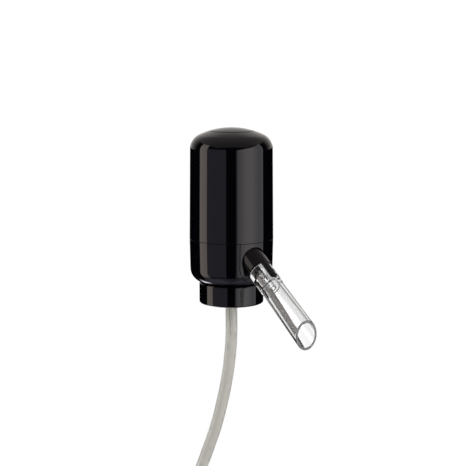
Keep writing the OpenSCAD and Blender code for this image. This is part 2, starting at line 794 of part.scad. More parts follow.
// Battery cage: deck, tower around the pump, fins between the cells and the top plate
module battery_cage() {
    cage_h = top_plate_top - deck_z;
    color(cage_grey) difference() {
        union() {
            translate([0, 0, deck_z]) cylinder(r = deck_r, h = deck_t);
            translate([0, 0, deck_z]) cylinder(r = tower_ro, h = cage_h);
            for (a = [0, 90, 180, 270]) rotate([0, 0, a])
                translate([tower_ri + tower_t / 2, -fin_t / 2, deck_z]) cube([fin_len, fin_t, cage_h]);
            translate([0, 0, top_plate_z]) cylinder(r = top_plate_r, h = top_plate_t);
            around(board_screw_angles, board_screw_ring)
                translate([0, 0, top_plate_z]) cylinder(r = standoff_r, h = top_plate_t + standoff_h);
        }
        translate([0, 0, deck_z - 1]) cylinder(r = tower_ri, h = cage_h + 2);
        around(deck_screw_angles, deck_screw_r) translate([0, 0, deck_z - 1])
            cylinder(r = screw_r + screw_gap, h = deck_t + 2);
        around(pump_ear_angles, pump_ear_ring) translate([0, 0, deck_z - 1])
            cylinder(r = screw_r + seat_gap, h = deck_t + 2);
        around(cell_angles, cell_ring_r) translate([0, 0, top_plate_z - 1])
            cylinder(r = rivet_r + seat_gap, h = top_plate_t + 2);
        around(board_screw_angles, board_screw_ring) translate([0, 0, top_plate_z - 1])
            cylinder(r = screw_r + seat_gap, h = top_plate_t + standoff_h + 2);
    }
}

module deck_screws() {
    color(steel) around(deck_screw_angles, deck_screw_r) translate([0, 0, deck_top]) screw(deck_screw_len);
}

// One cell, with its nub at the top
module battery_cell(a) {
    color("#8d9196") around([a], cell_ring_r) translate([0, 0, cell_z]) {
        cylinder(r = cell_r, h = cell_len - nub_h);
        cylinder(r = nub_r, h = cell_len);
    }
}

module spring_plates() {
    rim = 0.8;
    color("#b9b5a6") around(cell_angles, cell_ring_r) translate([0, 0, deck_top])
        cylinder(r = cell_r - rim, h = plate_t);
}

cell_wire_r = 0.3;
cell_coil_in = 2;
cell_curls = 2;
cell_path = coil_path(cell_r - cell_coil_in, deck_top + plate_t, cell_spring_h, cell_wire_r, cell_curls);

module cell_springs() {
    echo(cell_springs_least_gap = least_gap(cell_path, cell_wire_r));
    color(steel) around(cell_angles, cell_ring_r) swept_wire(cell_path, [0, 0, 1], cell_wire_r, wire_sides);
}

// Contacts under the top plate, each with a rivet up to the circuit board
module cell_contacts() {
    color("#b9b5a6") around(cell_angles, cell_ring_r) {
        translate([0, 0, cell_top]) cylinder(r = contact_r, h = plate_t);
        translate([0, 0, cell_top]) cylinder(r = rivet_r, h = board_z - cell_top);
    }
}

module motor_can() {
    color("#b4b6b8") difference() {
        union() {
            translate([0, 0, pump_body_top]) cylinder(r = motor_r, h = motor_len);
            translate([0, 0, pump_body_top - motor_boss_h])
                cylinder(r = motor_boss_r, h = motor_boss_h + 1);
        }
        translate([0, 0, pump_body_top - motor_boss_h - 1])
            cylinder(r = shaft_r + shaft_clear, h = motor_len + motor_boss_h + 2);
        around([0, 180], motor_screw_ring) translate([0, 0, pump_body_top - 1])
            cylinder(r = screw_r + seat_gap, h = motor_screw_in + 2);
    }
}

module motor_end_cap() {
    color("#e4e2da") translate([0, 0, motor_top]) ring(motor_cap_r, shaft_r + shaft_clear, motor_cap_h);
}

module motor_leads() {
    color("#b3261e") around([0, 180], lead_x) translate([0, 0, motor_cap_top])
        cylinder(r = lead_r, h = board_z - motor_cap_top);
}

module motor_screws() {
    color(steel) around([0, 180], motor_screw_ring) translate([0, 0, pump_body_top - pump_roof_t])
        mirror([0, 0, 1]) screw(pump_roof_t + motor_screw_in);
}

module motor_shaft() {
    color(steel) translate([0, 0, cam_z + cam_recess_h + free_gap])
        cylinder(r = shaft_r, h = shaft_top - cam_z - cam_recess_h - free_gap);
}

// Cam on the shaft, with a recess in which the drive pin runs round
module pump_cam() {
    color("#e9e7df") difference() {
        translate([0, 0, cam_z]) cylinder(r = cam_r, h = cam_h);
        translate([0, 0, cam_z - 1]) cylinder(r = cam_recess_r, h = cam_recess_h + 1);
        translate([0, 0, cam_z + cam_recess_h + free_gap]) cylinder(r = shaft_r, h = cam_h);
    }
}

// Drive plate that rocks on the valve plate's post and works the three cups
module drive_plate() {
    color("#d9d7cf") translate([0, 0, drive_z]) difference() {
        cylinder(r = drive_r, h = drive_t);
        translate([0, 0, free_gap]) cylinder(r = pin_r, h = drive_t);
        around(cup_angles, cup_ring) translate([0, 0, -1])
            cylinder(r = stud_r + free_gap, h = drive_t + 2);
    }
}

module drive_pin() {
    color(steel) translate([0, 0, drive_z + free_gap])
        cylinder(r = pin_r, h = pin_top - drive_z - free_gap);
}

module pump_body() {
    color("#2c2d30") difference() {
        translate([0, 0, pump_body_z]) cylinder(r = pump_r, h = pump_body_h);
        translate([0, 0, pump_body_z - 1])
            cylinder(r = pump_r - pump_wall, h = pump_body_h - pump_roof_t + 1);
        translate([0, 0, pump_body_top - pump_roof_t - 1])
            cylinder(r = motor_boss_r + seat_gap, h = pump_roof_t + 2);
        around([0, 180], motor_screw_ring) translate([0, 0, pump_body_top - pump_roof_t - 1])
            cylinder(r = screw_r + screw_gap, h = pump_roof_t + 2);
    }
}

// Rubber diaphragm with three cups and the studs that the drive plate holds
module diaphragm() {
    stud_out = 0.4;
    color("#26272a") difference() {
        union() {
            translate([0, 0, diaphragm_z]) cylinder(r = pump_r, h = diaphragm_t);
            around(cup_angles, cup_ring) translate([0, 0, diaphragm_z]) {
                cylinder(r = cup_r, h = diaphragm_t + cup_h);
                cylinder(r = stud_r, h = drive_z + drive_t + stud_out - diaphragm_z);
            }
        }
        translate([0, 0, diaphragm_z - 1]) cylinder(r = post_r + seat_gap, h = diaphragm_t + 2);
        around(cup_angles, cup_ring) translate([0, 0, diaphragm_z - 1])
            cylinder(r = cup_r - cup_wall, h = diaphragm_t + cup_h - cup_wall + 1);
    }
}

module valve_plate() {
    inlet_r = 0.8;
    stem_seat = valve_plate_t - touch_gap;
    color("#d9d7cf") difference() {
        union() {
            translate([0, 0, pump_cover_top]) cylinder(r = pump_r, h = valve_plate_t);
            translate([0, 0, pump_cover_top]) cylinder(r = post_r, h = post_top - pump_cover_top);
        }
        around(cup_angles, cup_ring) translate([0, 0, pump_cover_top - 1])
            cylinder(r = inlet_r, h = valve_plate_t + 2);
        translate([0, 0, pump_cover_top - 1]) cylinder(r = valve_stem_r + seat_gap, h = stem_seat + 1);
    }
}

// Umbrella valve under the valve plate
module outlet_valve() {
    umbrella_r = 3.5;
    umbrella_t = 0.6;
    color("#26272a") {
        translate([0, 0, pump_cover_top - umbrella_t]) cylinder(r = umbrella_r, h = umbrella_t);
        translate([0, 0, pump_cover_top - umbrella_t]) cylinder(r = valve_stem_r, h = valve_plate_t);
    }
}

module pump_cover() {
    flange_z = deck_z - pump_flange_t;
    chamber_floor = 1;
    chamber_h = pump_cover_top - deck_z - chamber_floor;
    color("#2c2d30") difference() {
        union() {
            translate([0, 0, flange_z]) cylinder(r = pump_flange_r, h = pump_flange_t);
            translate([0, 0, flange_z]) cylinder(r = pump_r, h = pump_cover_top - flange_z);
            around(pump_ear_angles, pump_ear_ring) translate([0, 0, flange_z])
                cylinder(r = pump_ear_r, h = pump_flange_t);
            translate([air_x, air_y, flange_z - riser_nipple])
                cylinder(r = air_nipple_r, h = riser_nipple + 1);
        }
        translate([0, 0, pump_cover_top - chamber_h])
            cylinder(r = pump_r - 2 * pump_wall, h = chamber_h + 1);
        translate([air_x, air_y, flange_z - riser_nipple - 1])
            cylinder(r = air_bore_r, h = pump_cover_top - flange_z + riser_nipple);
        around(pump_ear_angles, pump_ear_ring) translate([0, 0, flange_z - 1])
            cylinder(r = screw_r + screw_gap, h = pump_flange_t + 2);
    }
}

module pump_screws() {
    color(steel) around(pump_ear_angles, pump_ear_ring) translate([0, 0, deck_z - pump_flange_t])
        mirror([0, 0, 1]) screw(pump_flange_t + deck_t - touch_gap);
}

module circuit_board() {
    color("#1f5a3a") difference() {
        translate([0, 0, board_z]) cylinder(r = board_r, h = board_t);
        around(board_screw_angles, board_screw_ring) translate([0, 0, board_z - 1])
            cylinder(r = screw_r + screw_gap, h = board_t + 2);
    }
}

// Controller, driver, choke and capacitor on the board
module board_parts() {
    chip = board_r * 0.3;
    chip_h = board_r * 0.07;
    choke_r = board_r * 0.15;
    choke_h = board_r * 0.16;
    can_r = board_r * 0.125;
    can_h = board_r * 0.23;
    plug_w = board_r * 0.4;
    plug_h = board_r * 0.1;
    color("#232326") translate([0, 0, board_top]) {
        translate([board_r * 0.35, -chip / 2, 0]) cube([chip, chip, chip_h]);
        translate([-board_r * 0.35 - chip, -chip / 2, 0]) cube([chip, chip, chip_h]);
        translate([board_r * 0.4, board_r * 0.5, 0]) cylinder(r = choke_r, h = choke_h);
        translate([-board_r * 0.35, board_r * 0.45, 0]) cylinder(r = can_r, h = can_h);
        translate([-plug_w / 2, -board_r * 0.65, 0]) cube([plug_w, 1.5 * plug_h, plug_h]);
    }
}

module board_screws() {
    color(steel) around(board_screw_angles, board_screw_ring) translate([0, 0, board_top])
        screw(board_t + standoff_h + top_plate_t - free_gap);
}

module switch_body() {
    color("#17181a") translate([0, 0, board_top]) difference() {
        translate([-switch_w / 2, -switch_w / 2, 0]) cube([switch_w, switch_w, switch_h]);
        translate([0, 0, switch_floor]) cylinder(r = plunger_r + shaft_clear, h = switch_h);
    }
}

module switch_plunger() {
    color("#b3261e") translate([0, 0, plunger_top - plunger_up - plunger_in])
        cylinder(r = plunger_r, h = plunger_up + plunger_in);
}

upper_housing();
top_button();
button_spring();
button_clip();
lower_housing();
spout_panel();
spout_boss();
nozzle_core();
nozzle_seal();
clear_spout();
bottle_collar();
collar_screws();
stopper_plug();
dip_tube();
bottle_fitting();
fitting_gasket();
riser_sleeve();
air_hoses();
air_check_valve();
battery_cage();
deck_screws();
battery_cell(cell_angles[0]);  // battery_cell_1
battery_cell(cell_angles[1]);  // battery_cell_2
battery_cell(cell_angles[2]);  // battery_cell_3
battery_cell(cell_angles[3]);  // battery_cell_4
spring_plates();
cell_springs();
cell_contacts();
motor_can();
motor_end_cap();
motor_leads();
motor_screws();
motor_shaft();
pump_cam();
drive_plate();
drive_pin();
pump_body();
diaphragm();
valve_plate();
outlet_valve();
pump_cover();
pump_screws();
circuit_board();
board_parts();
board_screws();
switch_body();
switch_plunger();
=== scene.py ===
# %% [markdown]
# # An electric wine dispenser
# The dispenser is pushed in like a stopper. A pump under its black cover presses air down, and the
# drink rises through a hose and leaves by the clear spout.
# The solid model already gives every piece its size, its place and the body that it moves with.
# This lesson dresses it: the shells whose curves must reflect cleanly are modelled again, and
# every surface gets a finish made of nodes.

# %% Load the solid model
import json
import math

import bmesh
import bpy
from mathutils import Matrix, Vector


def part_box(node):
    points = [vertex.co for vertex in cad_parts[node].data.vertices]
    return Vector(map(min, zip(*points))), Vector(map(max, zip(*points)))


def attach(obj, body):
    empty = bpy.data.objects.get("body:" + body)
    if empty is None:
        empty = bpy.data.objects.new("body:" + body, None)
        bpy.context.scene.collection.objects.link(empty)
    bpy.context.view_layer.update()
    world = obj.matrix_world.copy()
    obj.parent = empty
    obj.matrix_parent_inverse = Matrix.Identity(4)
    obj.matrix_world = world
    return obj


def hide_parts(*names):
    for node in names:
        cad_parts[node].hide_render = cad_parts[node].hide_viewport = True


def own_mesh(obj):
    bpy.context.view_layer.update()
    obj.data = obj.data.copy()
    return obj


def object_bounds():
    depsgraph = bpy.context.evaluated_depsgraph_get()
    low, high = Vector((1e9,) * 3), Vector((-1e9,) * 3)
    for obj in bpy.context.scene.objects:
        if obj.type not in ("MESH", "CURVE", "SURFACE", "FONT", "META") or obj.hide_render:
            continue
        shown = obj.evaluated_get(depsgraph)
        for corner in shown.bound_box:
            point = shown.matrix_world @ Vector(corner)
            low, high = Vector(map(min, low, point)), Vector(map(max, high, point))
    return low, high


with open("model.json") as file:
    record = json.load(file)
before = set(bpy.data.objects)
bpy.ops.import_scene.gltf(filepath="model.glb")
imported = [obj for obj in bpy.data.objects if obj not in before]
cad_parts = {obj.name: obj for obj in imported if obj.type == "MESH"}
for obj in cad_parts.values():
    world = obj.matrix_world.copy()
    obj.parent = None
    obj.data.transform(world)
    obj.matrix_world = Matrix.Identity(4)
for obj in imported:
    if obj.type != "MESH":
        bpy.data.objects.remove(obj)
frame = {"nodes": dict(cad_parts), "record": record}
cad_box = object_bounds()
nodes = frame["nodes"]
MM = 0.001


def span(node):
    """The lowest and highest corner of a solid, in millimetres."""
    low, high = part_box(node)
    return low / MM, high / MM


# %% [markdown]
# ## Camera
# The photograph was taken with a long lens from slightly above, to the left of the spout.
# A camera can be dragged into place by eye, but four measured numbers are easier to repeat:
# how far away it is, how high, how far it is turned round the body, and where it aims.

# %% Set up the camera
CAMERA_AWAY = 856.9 * MM
CAMERA_UP = 168.1 * MM
CAMERA_TURN = math.radians(-33.4)
AIM_UP = 34.5 * MM
AIM_RIGHT = 1.0 * MM
LENS = 105.6

scene = bpy.context.scene
to_camera = Vector((math.sin(CAMERA_TURN), -math.cos(CAMERA_TURN), 0))
to_right = Vector((-to_camera.y, to_camera.x, 0))
camera = bpy.data.objects.new("camera", bpy.data.cameras.new("camera"))
camera.data.lens = LENS
camera.location = to_camera * CAMERA_AWAY + Vector((0, 0, CAMERA_UP))
aim = to_right * AIM_RIGHT + Vector((0, 0, AIM_UP))
camera.rotation_euler = (aim - camera.location).to_track_quat("-Z", "Y").to_euler()
scene.collection.objects.link(camera)
scene.camera = camera
scene.view_settings.view_transform = "Standard"
print("camera at", [round(c, 3) for c in camera.location])

# %% [markdown]
# ## Hose
# A soft hose hangs from the stopper and draws the drink up. Its line is a Bezier curve through
# points of a route that was settled with the solids. The curve is given a thickness, turned into
# a mesh, and solidified inwards, so that the cut end shows its bore.

# %% Sweep the hose
HOSE_LEAN = math.radians(147)
HOSE_R = 3.75 * MM
HOSE_WALL = 1.25 * MM
# How far out and how high each point of the route lies, in millimetres
HOSE_ROUTE = [
    (0, -1), (0, -16), (0, -31), (1, -46), (3, -61), (6, -76), (10, -92), (15, -107), (20, -121),
    (25, -137), (28, -153), (30, -170), (31, -190), (31, -212), (31, -236), (31, -262),
]


def show(name, mesh):
    """A new object in the scene that holds this mesh."""
    piece = bpy.data.objects.new(name, mesh)
    scene.collection.objects.link(piece)
    return piece


def settled(piece):
    """A copy of the piece's mesh with its modifiers worked in."""
    bpy.context.view_layer.update()
    whole = piece.evaluated_get(bpy.context.evaluated_depsgraph_get())
    return bpy.data.meshes.new_from_object(whole)


def swept(name, points, radius, capped=False, sides=7, between=10):
    """A round bar or tube along a smooth line through the points."""
    curve = bpy.data.curves.new(name, "CURVE")
    curve.dimensions = "3D"
    curve.bevel_depth = radius
    curve.bevel_resolution = sides
    curve.resolution_u = between
    curve.use_fill_caps = capped
    line = curve.splines.new("BEZIER")
    line.bezier_points.add(len(points) - 1)
    for stop, point in zip(line.bezier_points, points):
        stop.co = point
        stop.handle_left_type = stop.handle_right_type = "AUTO"
    holder = show(name + "_line", curve)
    mesh = settled(holder)
    bpy.data.objects.remove(holder)
    bpy.data.curves.remove(curve)
    mesh.name = name
    return show(name, mesh)


lean = Vector((math.cos(HOSE_LEAN), math.sin(HOSE_LEAN), 0))
hose_points = [(lean * out + Vector((0, 0, up))) * MM for out, up in HOSE_ROUTE]
hose = swept("dip_hose", hose_points, HOSE_R)
hose.data.shade_smooth()
bore = hose.modifiers.new("bore", "SOLIDIFY")
bore.thickness = HOSE_WALL
bore.offset = -1
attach(hose, "base")
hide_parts("dip_tube")
print("hose:", len(hose.data.polygons), "faces")

# %% [markdown]
# ## Shader arithmetic
# A finish is a small network of nodes. Linking nodes by hand is slow to read, so one class wraps
# a socket: adding or multiplying two wrapped sockets adds the Math node that does it, and one
# method makes any other node from its type, its settings and its inputs.

# %% Wrap sockets
class Wire:
    """A socket of a node tree, on which arithmetic adds Math nodes."""

    def __init__(self, tree, socket=None):
        self.tree = tree
        self.socket = socket

    def node(self, kind, inputs=None, output=0, **settings):
        """A new node of this type, with its settings and its inputs' values or links."""
        made = self.tree.nodes.new("ShaderNode" + kind)
        for name, value in settings.items():
            setattr(made, name, value)
        for name, value in (inputs or {}).items():
            if isinstance(value, Wire):
                self.tree.links.new(value.socket, made.inputs[name])
            else:
                made.inputs[name].default_value = value
        return Wire(self.tree, made.outputs[output])

    def math(self, operation, first, second=0.0):
        return self.node("Math", {0: first, 1: second}, operation=operation)

    def __add__(self, other):
        return self.math("ADD", self, other)

    def __sub__(self, other):
        return self.math("SUBTRACT", self, other)

    def __rsub__(self, other):
        return self.math("SUBTRACT", other, self)

    def __mul__(self, other):
        return self.math("MULTIPLY", self, other)

    def __truediv__(self, other):
        return self.math("DIVIDE", self, other)

    __radd__ = __add__
    __rmul__ = __mul__

    def place(self):
        """The point of the surface, in the object's own coordinates."""
        return self.node("TexCoord", output="Object")

    def along(self, way):
        """How far this point lies in a direction."""
        return self.node("VectorMath", {0: self, 1: way}, output="Value", operation="DOT_PRODUCT")

    def noise(self, size, detail=3.0, stretch=(1, 1, 1)):
        """Cloudy values about 0.5, whose blots are about so many millimetres wide."""
        place = self.node("Mapping", {"Vector": self.place(), "Scale": stretch})
        return self.node("TexNoise", {"Vector": place, "Scale": 1 / (size * MM), "Detail": detail})

    def ramp(self, low, high):
        """Rises smoothly from 0 to 1 between two values."""
        return self.node("MapRange", {"Value": self, "From Min": low, "From Max": high},
                         interpolation_type="SMOOTHSTEP")

    def band(self, low, high, soft):
        """Is 1 between two values and falls softly to 0 outside."""
        return self.ramp(low - soft, low + soft) * (1 - self.ramp(high - soft, high + soft))

    def mix(self, first, second):
        """Goes from the first colour to the second as this value goes from 0 to 1."""
        return self.node("Mix", {0: self, 6: first, 7: second}, output=2, data_type="RGBA")


def rgb(red, green, blue):
    return (red, green, blue, 1)


def grey(level):
    return rgb(level, level, level)


def finish(name, **constants):
    """A new material, the wire that builds its nodes, and its shader."""
    material = bpy.data.materials.new(name)
    material.use_nodes = True
    shader = material.node_tree.nodes["Principled BSDF"]
    for socket, value in constants.items():
        shader.inputs[socket.replace("_", " ")].default_value = value
    return material, Wire(material.node_tree), shader


def feed(wire, shader, colour=None, roughness=None, height=None, depth=0.02):
    """Links what varies: colour, roughness, and a relief so many millimetres deep."""
    links = wire.tree.links
    if colour:
        links.new(colour.socket, shader.inputs["Base Color"])
    if roughness:
        links.new(roughness.socket, shader.inputs["Roughness"])
    if height:
        relief = wire.node("Bump", {"Strength": 1.0, "Distance": depth * MM, "Height": height})
        links.new(relief.socket, shader.inputs["Normal"])


print("shader helpers ready")

# %% [markdown]
# ## Black mouldings
# The housings are polished black plastic. Pure black and a perfect mirror look false, so the
# colour drifts between two near-blacks, the gloss has faint handling marks, and a very shallow
# wave in the surface bends the reflections as a moulding does. The cage inside and the rubber
# parts have an eroded texture, which scatters the light. Several finishes below differ only in
# numbers, so one function builds them all.

# %% Black finishes
PLASTIC_IOR = 1.5
DEEP_BLACK, WORN_BLACK = rgb(0.0006, 0.0005, 0.0012), rgb(0.0012, 0.0010, 0.0019)


def polished_black(name, gloss, mirror=0.5):
    material, wire, shader = finish(name, IOR=PLASTIC_IOR, Specular_IOR_Level=mirror)
    tone = wire.noise(14, 2).mix(DEEP_BLACK, WORN_BLACK)
    marks = wire.noise(1.4, 6, (1, 1, 0.12)).ramp(0.52, 0.78)
    feed(wire, shader, tone, gloss + 0.035 * marks, wire.noise(5, 2), 0.004)
    return material


def grained(name, colour, dark, blots, gloss, spread, grain, depth, **constants):
    """A finish whose colour drifts in blots, with a grain in its gloss and its surface."""
    material, wire, shader = finish(name, **constants)
    tone = wire.noise(*blots).mix(rgb(*(dark * c for c in colour)), rgb(*colour))
    texture = wire.noise(*grain)
    feed(wire, shader, tone, gloss + spread * texture, texture, depth)
    return material


def textured_black(name, light, gloss):
    return grained(name, light, 0.8, (6,), gloss, 0.15, (0.22, 2), 0.03, IOR=PLASTIC_IOR)


finishes = {
    "gloss_black": polished_black("gloss_black_moulding", 0.05),
    "button_black": polished_black("button_black_moulding", 0.09),
    "core_black": textured_black("core_black_moulding", (0.014, 0.014, 0.015), 0.26),
    "cage_plastic": textured_black("cage_moulding", (0.045, 0.046, 0.05), 0.42),
    "dark_rubber": textured_black("dark_rubber_skin", (0.02, 0.02, 0.021), 0.5),
}
print("black finishes:", len(finishes))

# %% [markdown]
# ## Clear plastic and silicone
# The spout is clear plastic. Light bends through it, and a Layer Weight node darkens its tint at
# the edges, as painted shade for the dark reflections along its walls. Its cut faces are satin.
# The hose and the stopper are milky silicone, which lets light through but blurs it.

# %% Clear and milky finishes
CLEAR_IOR, SILICONE_IOR = 1.49, 1.41
# The edge tint is painted shade, darker than the face, for the dark reflections at the walls.
FACE_TINT, EDGE_PAINTED_SHADE, SPIGOT_TINT = grey(0.965), grey(0.45), grey(0.002)
SPOUT_SLOPE = math.radians(33)
SPOUT_Z, SPIGOT_END = 18.8, 13.5


def clear_plastic(name, black_to=None, bend=CLEAR_IOR):
    """Clear plastic that may be black up to a distance along the spout's axis, in millimetres."""
    material, wire, shader = finish(name, IOR=bend, Transmission_Weight=1.0)
    # Painted shade: the tint darkens towards the edges, in place of the dark reflections there.
    facing = wire.node("LayerWeight", {"Blend": 0.35}, output="Facing")
    tint_and_edge_shade = facing.ramp(0.35, 0.98).mix(FACE_TINT, EDGE_PAINTED_SHADE)
    if black_to:
        outward = Vector((0, -math.cos(SPOUT_SLOPE), -math.sin(SPOUT_SLOPE)))
        start = outward.dot(Vector((0, -span("upper_housing")[1].x, SPOUT_Z)))
        past = wire.place().along(outward) / MM - start
        tint_and_edge_shade = past.ramp(black_to - 0.3, black_to - 0.2).mix(SPIGOT_TINT, tint_and_edge_shade)
    feed(wire, shader, tint_and_edge_shade, 0.008 + 0.006 * wire.noise(2.2, 2))
    return material


def satin_plastic(name, light):
    material, wire, shader = finish(name, IOR=CLEAR_IOR)
    blots = wire.noise(1.1, 3).ramp(0.4, 0.62)
    tone = blots.mix(rgb(0.45 * light, 0.44 * light, 0.43 * light), grey(light))
    feed(wire, shader, tone, 0.35 + 0.2 * wire.noise(0.5, 2))
    return material


def milky_silicone(name, clear, colour):
    return grained(name, colour, 0.93, (9, 3), 0.22, 0.16, (0.8, 4, (1, 1, 0.05)), 0.01,
                   IOR=SILICONE_IOR, Transmission_Weight=clear)


finishes["clear_spout"] = clear_plastic("clear_spout_plastic")
finishes["silicone"] = milky_silicone("stopper_silicone", 0.25, (0.72, 0.70, 0.65))
hose.data.materials.append(milky_silicone("hose_silicone", 0.7, (0.80, 0.785, 0.74)))
print("finishes so far:", len(finishes))

# %% [markdown]
# ## Metal, board and small parts
# These show when the cover is lifted. Plated metal varies in gloss more than in colour. The board
# has a lacquer with copper tracks under it, drawn with a distance pattern. The cells wear a plain
# foil jacket with a pale ring near the nub.

# %% Finishes of the inner parts
TRACK_SCALE, TRACK_LINES = 260.0, 9
RING_FOOT, RING_HEAD = 8.5, 5.5


def plated(name, colour, gloss):
    return grained(name, colour, 0.85, (3,), gloss, 0.2, (0.5, 4, (1, 1, 8)), 0.004, Metallic=1.0)


def plain_plastic(name, colour, gloss):
    return grained(name, colour, 0.9, (5,), gloss, 0.15, (0.4, 3), 0.012, IOR=PLASTIC_IOR)


def lacquered_board(name):
    material, wire, shader = finish(name, IOR=PLASTIC_IOR)
    tracks = wire.node("TexVoronoi", {"Vector": wire.place(), "Scale": TRACK_SCALE, "Randomness": 0.6},
                       distance="MANHATTAN", feature="F1")
    lines = wire.math("FRACT", tracks * TRACK_LINES).band(0.3, 0.62, 0.05)
    tone = lines.mix(rgb(0.006, 0.06, 0.028), rgb(0.016, 0.13, 0.06))
    feed(wire, shader, tone, 0.2 + 0.12 * wire.noise(2), lines, 0.03)
    return material


def cell_foil(name):
    material, wire, shader = finish(name, Metallic=0.55)
    height = wire.node("SeparateXYZ", {0: wire.place()}, output=2) / MM
    top = span("battery_cell_1")[1].z
    ring = height.band(top - RING_FOOT, top - RING_HEAD, 0.1)
    tone = ring.mix(rgb(0.05, 0.053, 0.06), rgb(0.62, 0.62, 0.6))
    feed(wire, shader, tone, 0.28 + 0.15 * wire.noise(1.2, 4), wire.noise(2.5, 2), 0.01)
    return material


finishes.update({
    "red_rubber": plain_plastic("red_rubber_skin", (0.32, 0.06, 0.05), 0.5),
    "white_plastic": plain_plastic("natural_moulding", (0.72, 0.71, 0.67), 0.36),
    "steel": plated("plated_steel", (0.62, 0.63, 0.64), 0.18),
    "contact_metal": plated("nickel_strip", (0.72, 0.68, 0.58), 0.2),
    "cell_jacket": cell_foil("cell_foil"),
    "board": lacquered_board("board_lacquer"),
    "lead_red": plain_plastic("red_insulation", (0.5, 0.03, 0.02), 0.35),
})
for part in frame["record"]["subparts"]:
    solid = nodes[part["node"]]
    solid.data.materials.clear()
    solid.data.materials.append(finishes[part["material_slot"]])
print("finishes:", len(finishes))

# %% [markdown]
# ## A pen for turned shapes
# Most of these pieces are turned: half a section, spun round an axis. The pen draws the section
# with operators. A line extrudes the last point, an arc spins it, and a softened corner is a
# vertex bevel. The spin then closes the ring, doubles are merged, and normals are recalculated.

# %% The pen
SPIN_STEPS = 192
SOFT_STEPS = 5
MERGE_WITHIN = 0.0005 * MM


def shift(x=0, y=0, z=0):
    """A move by so many millimetres."""
    return Matrix.Translation((x * MM, y * MM, z * MM))


def solid_piece(name, bm):
    """Puts a bmesh into the scene."""
    mesh = bpy.data.meshes.new(name)
    bm.to_mesh(mesh)
    bm.free()
    return show(name, mesh)


class Section:
    """Half a section of a turned piece, drawn in millimetres as radius and height."""

    def __init__(self, radius, height):
        self.bm = bmesh.new()
        self.start = self.tip = self.bm.verts.new((radius * MM, 0, height * MM))
        self.soft = []

    def corner(self, soften):
        if soften:
            self.soft.append((self.tip, soften))
        return self

    def line(self, radius, height, soften=0, parts=1):
        """Draws on to a point, in equal parts, and may soften the corner there."""
        start, end = self.tip.co.copy(), Vector((radius * MM, 0, height * MM))
        for part in range(1, parts + 1):
            self.tip = bmesh.ops.extrude_vert_indiv(self.bm, verts=[self.tip])["verts"][0]
            self.tip.co = start.lerp(end, part / parts)
        return self.corner(soften)

    def arc(self, radius, height, degrees, steps=16, soften=0):
        """Draws on round a centre, and may soften the corner at the end."""
        made = bmesh.ops.spin(self.bm, geom=[self.tip], cent=(radius * MM, 0, height * MM),
                              axis=(0, -1, 0), angle=math.radians(degrees), steps=steps)
        self.tip = made["geom_last"][0]
        return self.corner(soften)

    def spun(self, name, closed=True, place=Matrix.Identity(4), steps=SPIN_STEPS):
        """Softens the corners, spins the section into a piece and puts it in its place."""
        bm = self.bm
        if closed:
            bm.edges.new((self.tip, self.start))
        for corner, size in self.soft:
            bmesh.ops.bevel(bm, geom=[corner], offset=size * MM, offset_type="OFFSET",
                            affect="VERTICES", segments=SOFT_STEPS, profile=0.5, material=-1)
        bmesh.ops.spin(bm, geom=bm.verts[:] + bm.edges[:], cent=(0, 0, 0), axis=(0, 0, 1),
                       angle=math.tau, steps=steps, use_merge=True)
        bmesh.ops.remove_doubles(bm, verts=bm.verts, dist=MERGE_WITHIN)
        bmesh.ops.recalc_face_normals(bm, faces=bm.faces)
        bm.transform(place)
        return solid_piece(name, bm)


print("a full turn has", SPIN_STEPS, "steps")

# %% [markdown]
# ## Cutting tools and dressing
# A Boolean modifier with a box or a bar cuts what a spin can't make, and is worked into the mesh at
# once. Dressing ends every piece in the same way: faces shade smoothly, steep edges stay sharp, the
# piece takes its material and is hung on its body, and the solids that it stands for are hidden.

# %% Cut and dress
SHARP = math.radians(32)
ROD_SIDES = 128


def carve(piece, tool, operation="DIFFERENCE"):
    """Cuts the tool out of a piece, or joins or crosses them, and removes the tool."""
    cut = piece.modifiers.new("carve", "BOOLEAN")
    cut.object = tool
    cut.operation = operation
    old, piece.data = piece.data, settled(piece)
    piece.modifiers.remove(cut)
    bpy.data.meshes.remove(old)
    bpy.data.meshes.remove(tool.data)
    return piece


def block(low, high, place=Matrix.Identity(4)):
    """A box between two corners, in millimetres, as a tool or a start."""
    bm = bmesh.new()
    low, high = Vector(low) * MM, Vector(high) * MM
    size = Matrix.Diagonal((*(high - low), 1))
    bmesh.ops.create_cube(bm, size=1, matrix=place @ Matrix.Translation((low + high) / 2) @ size)
    return solid_piece("block", bm)


def rod(radius, low, high, place=Matrix.Identity(4)):
    """An upright round bar from one height to another, in millimetres."""
    bm = bmesh.new()
    middle = place @ shift(z=(low + high) / 2)
    bmesh.ops.create_cone(bm, cap_ends=True, segments=ROD_SIDES, radius1=radius * MM,
                          radius2=radius * MM, depth=(high - low) * MM, matrix=middle)
    return solid_piece("rod", bm)


def dress(piece, body, slot, replaced=(), material=None, edge=0):
    """Smooths and finishes a piece, hangs it on its body, and hides the solids that it replaces."""
    mesh = piece.data
    mesh.materials.clear()
    mesh.materials.append(material or finishes[slot])
    bm = bmesh.new()
    bm.from_mesh(mesh)
    for face in bm.faces:
        face.smooth = True
    for seam in bm.edges:
        seam.smooth = seam.calc_face_angle(0) < SHARP
    bm.to_mesh(mesh)
    bm.free()
    if edge:
        worn = piece.modifiers.new("soft edges", "BEVEL")
        worn.width = edge * MM
        worn.segments = 2
        worn.limit_method = "ANGLE"
        worn.angle_limit = SHARP
    even = piece.modifiers.new("even shading", "WEIGHTED_NORMAL")
    even.keep_sharp = True
    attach(piece, body)
    if replaced:
        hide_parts(*replaced)
    print(piece.name, len(mesh.polygons), "faces")
    return piece


print("edges stay sharp above", round(math.degrees(SHARP)), "degrees")

# %% [markdown]
# ## Upper housing
# The tall cover tapers very slightly, turns over a shoulder and ends in a shallow crown. Its
# outline is a line and two arcs that meet tangentially, because any kink would show in the gloss.
# The well that guides the button hangs from the crown.

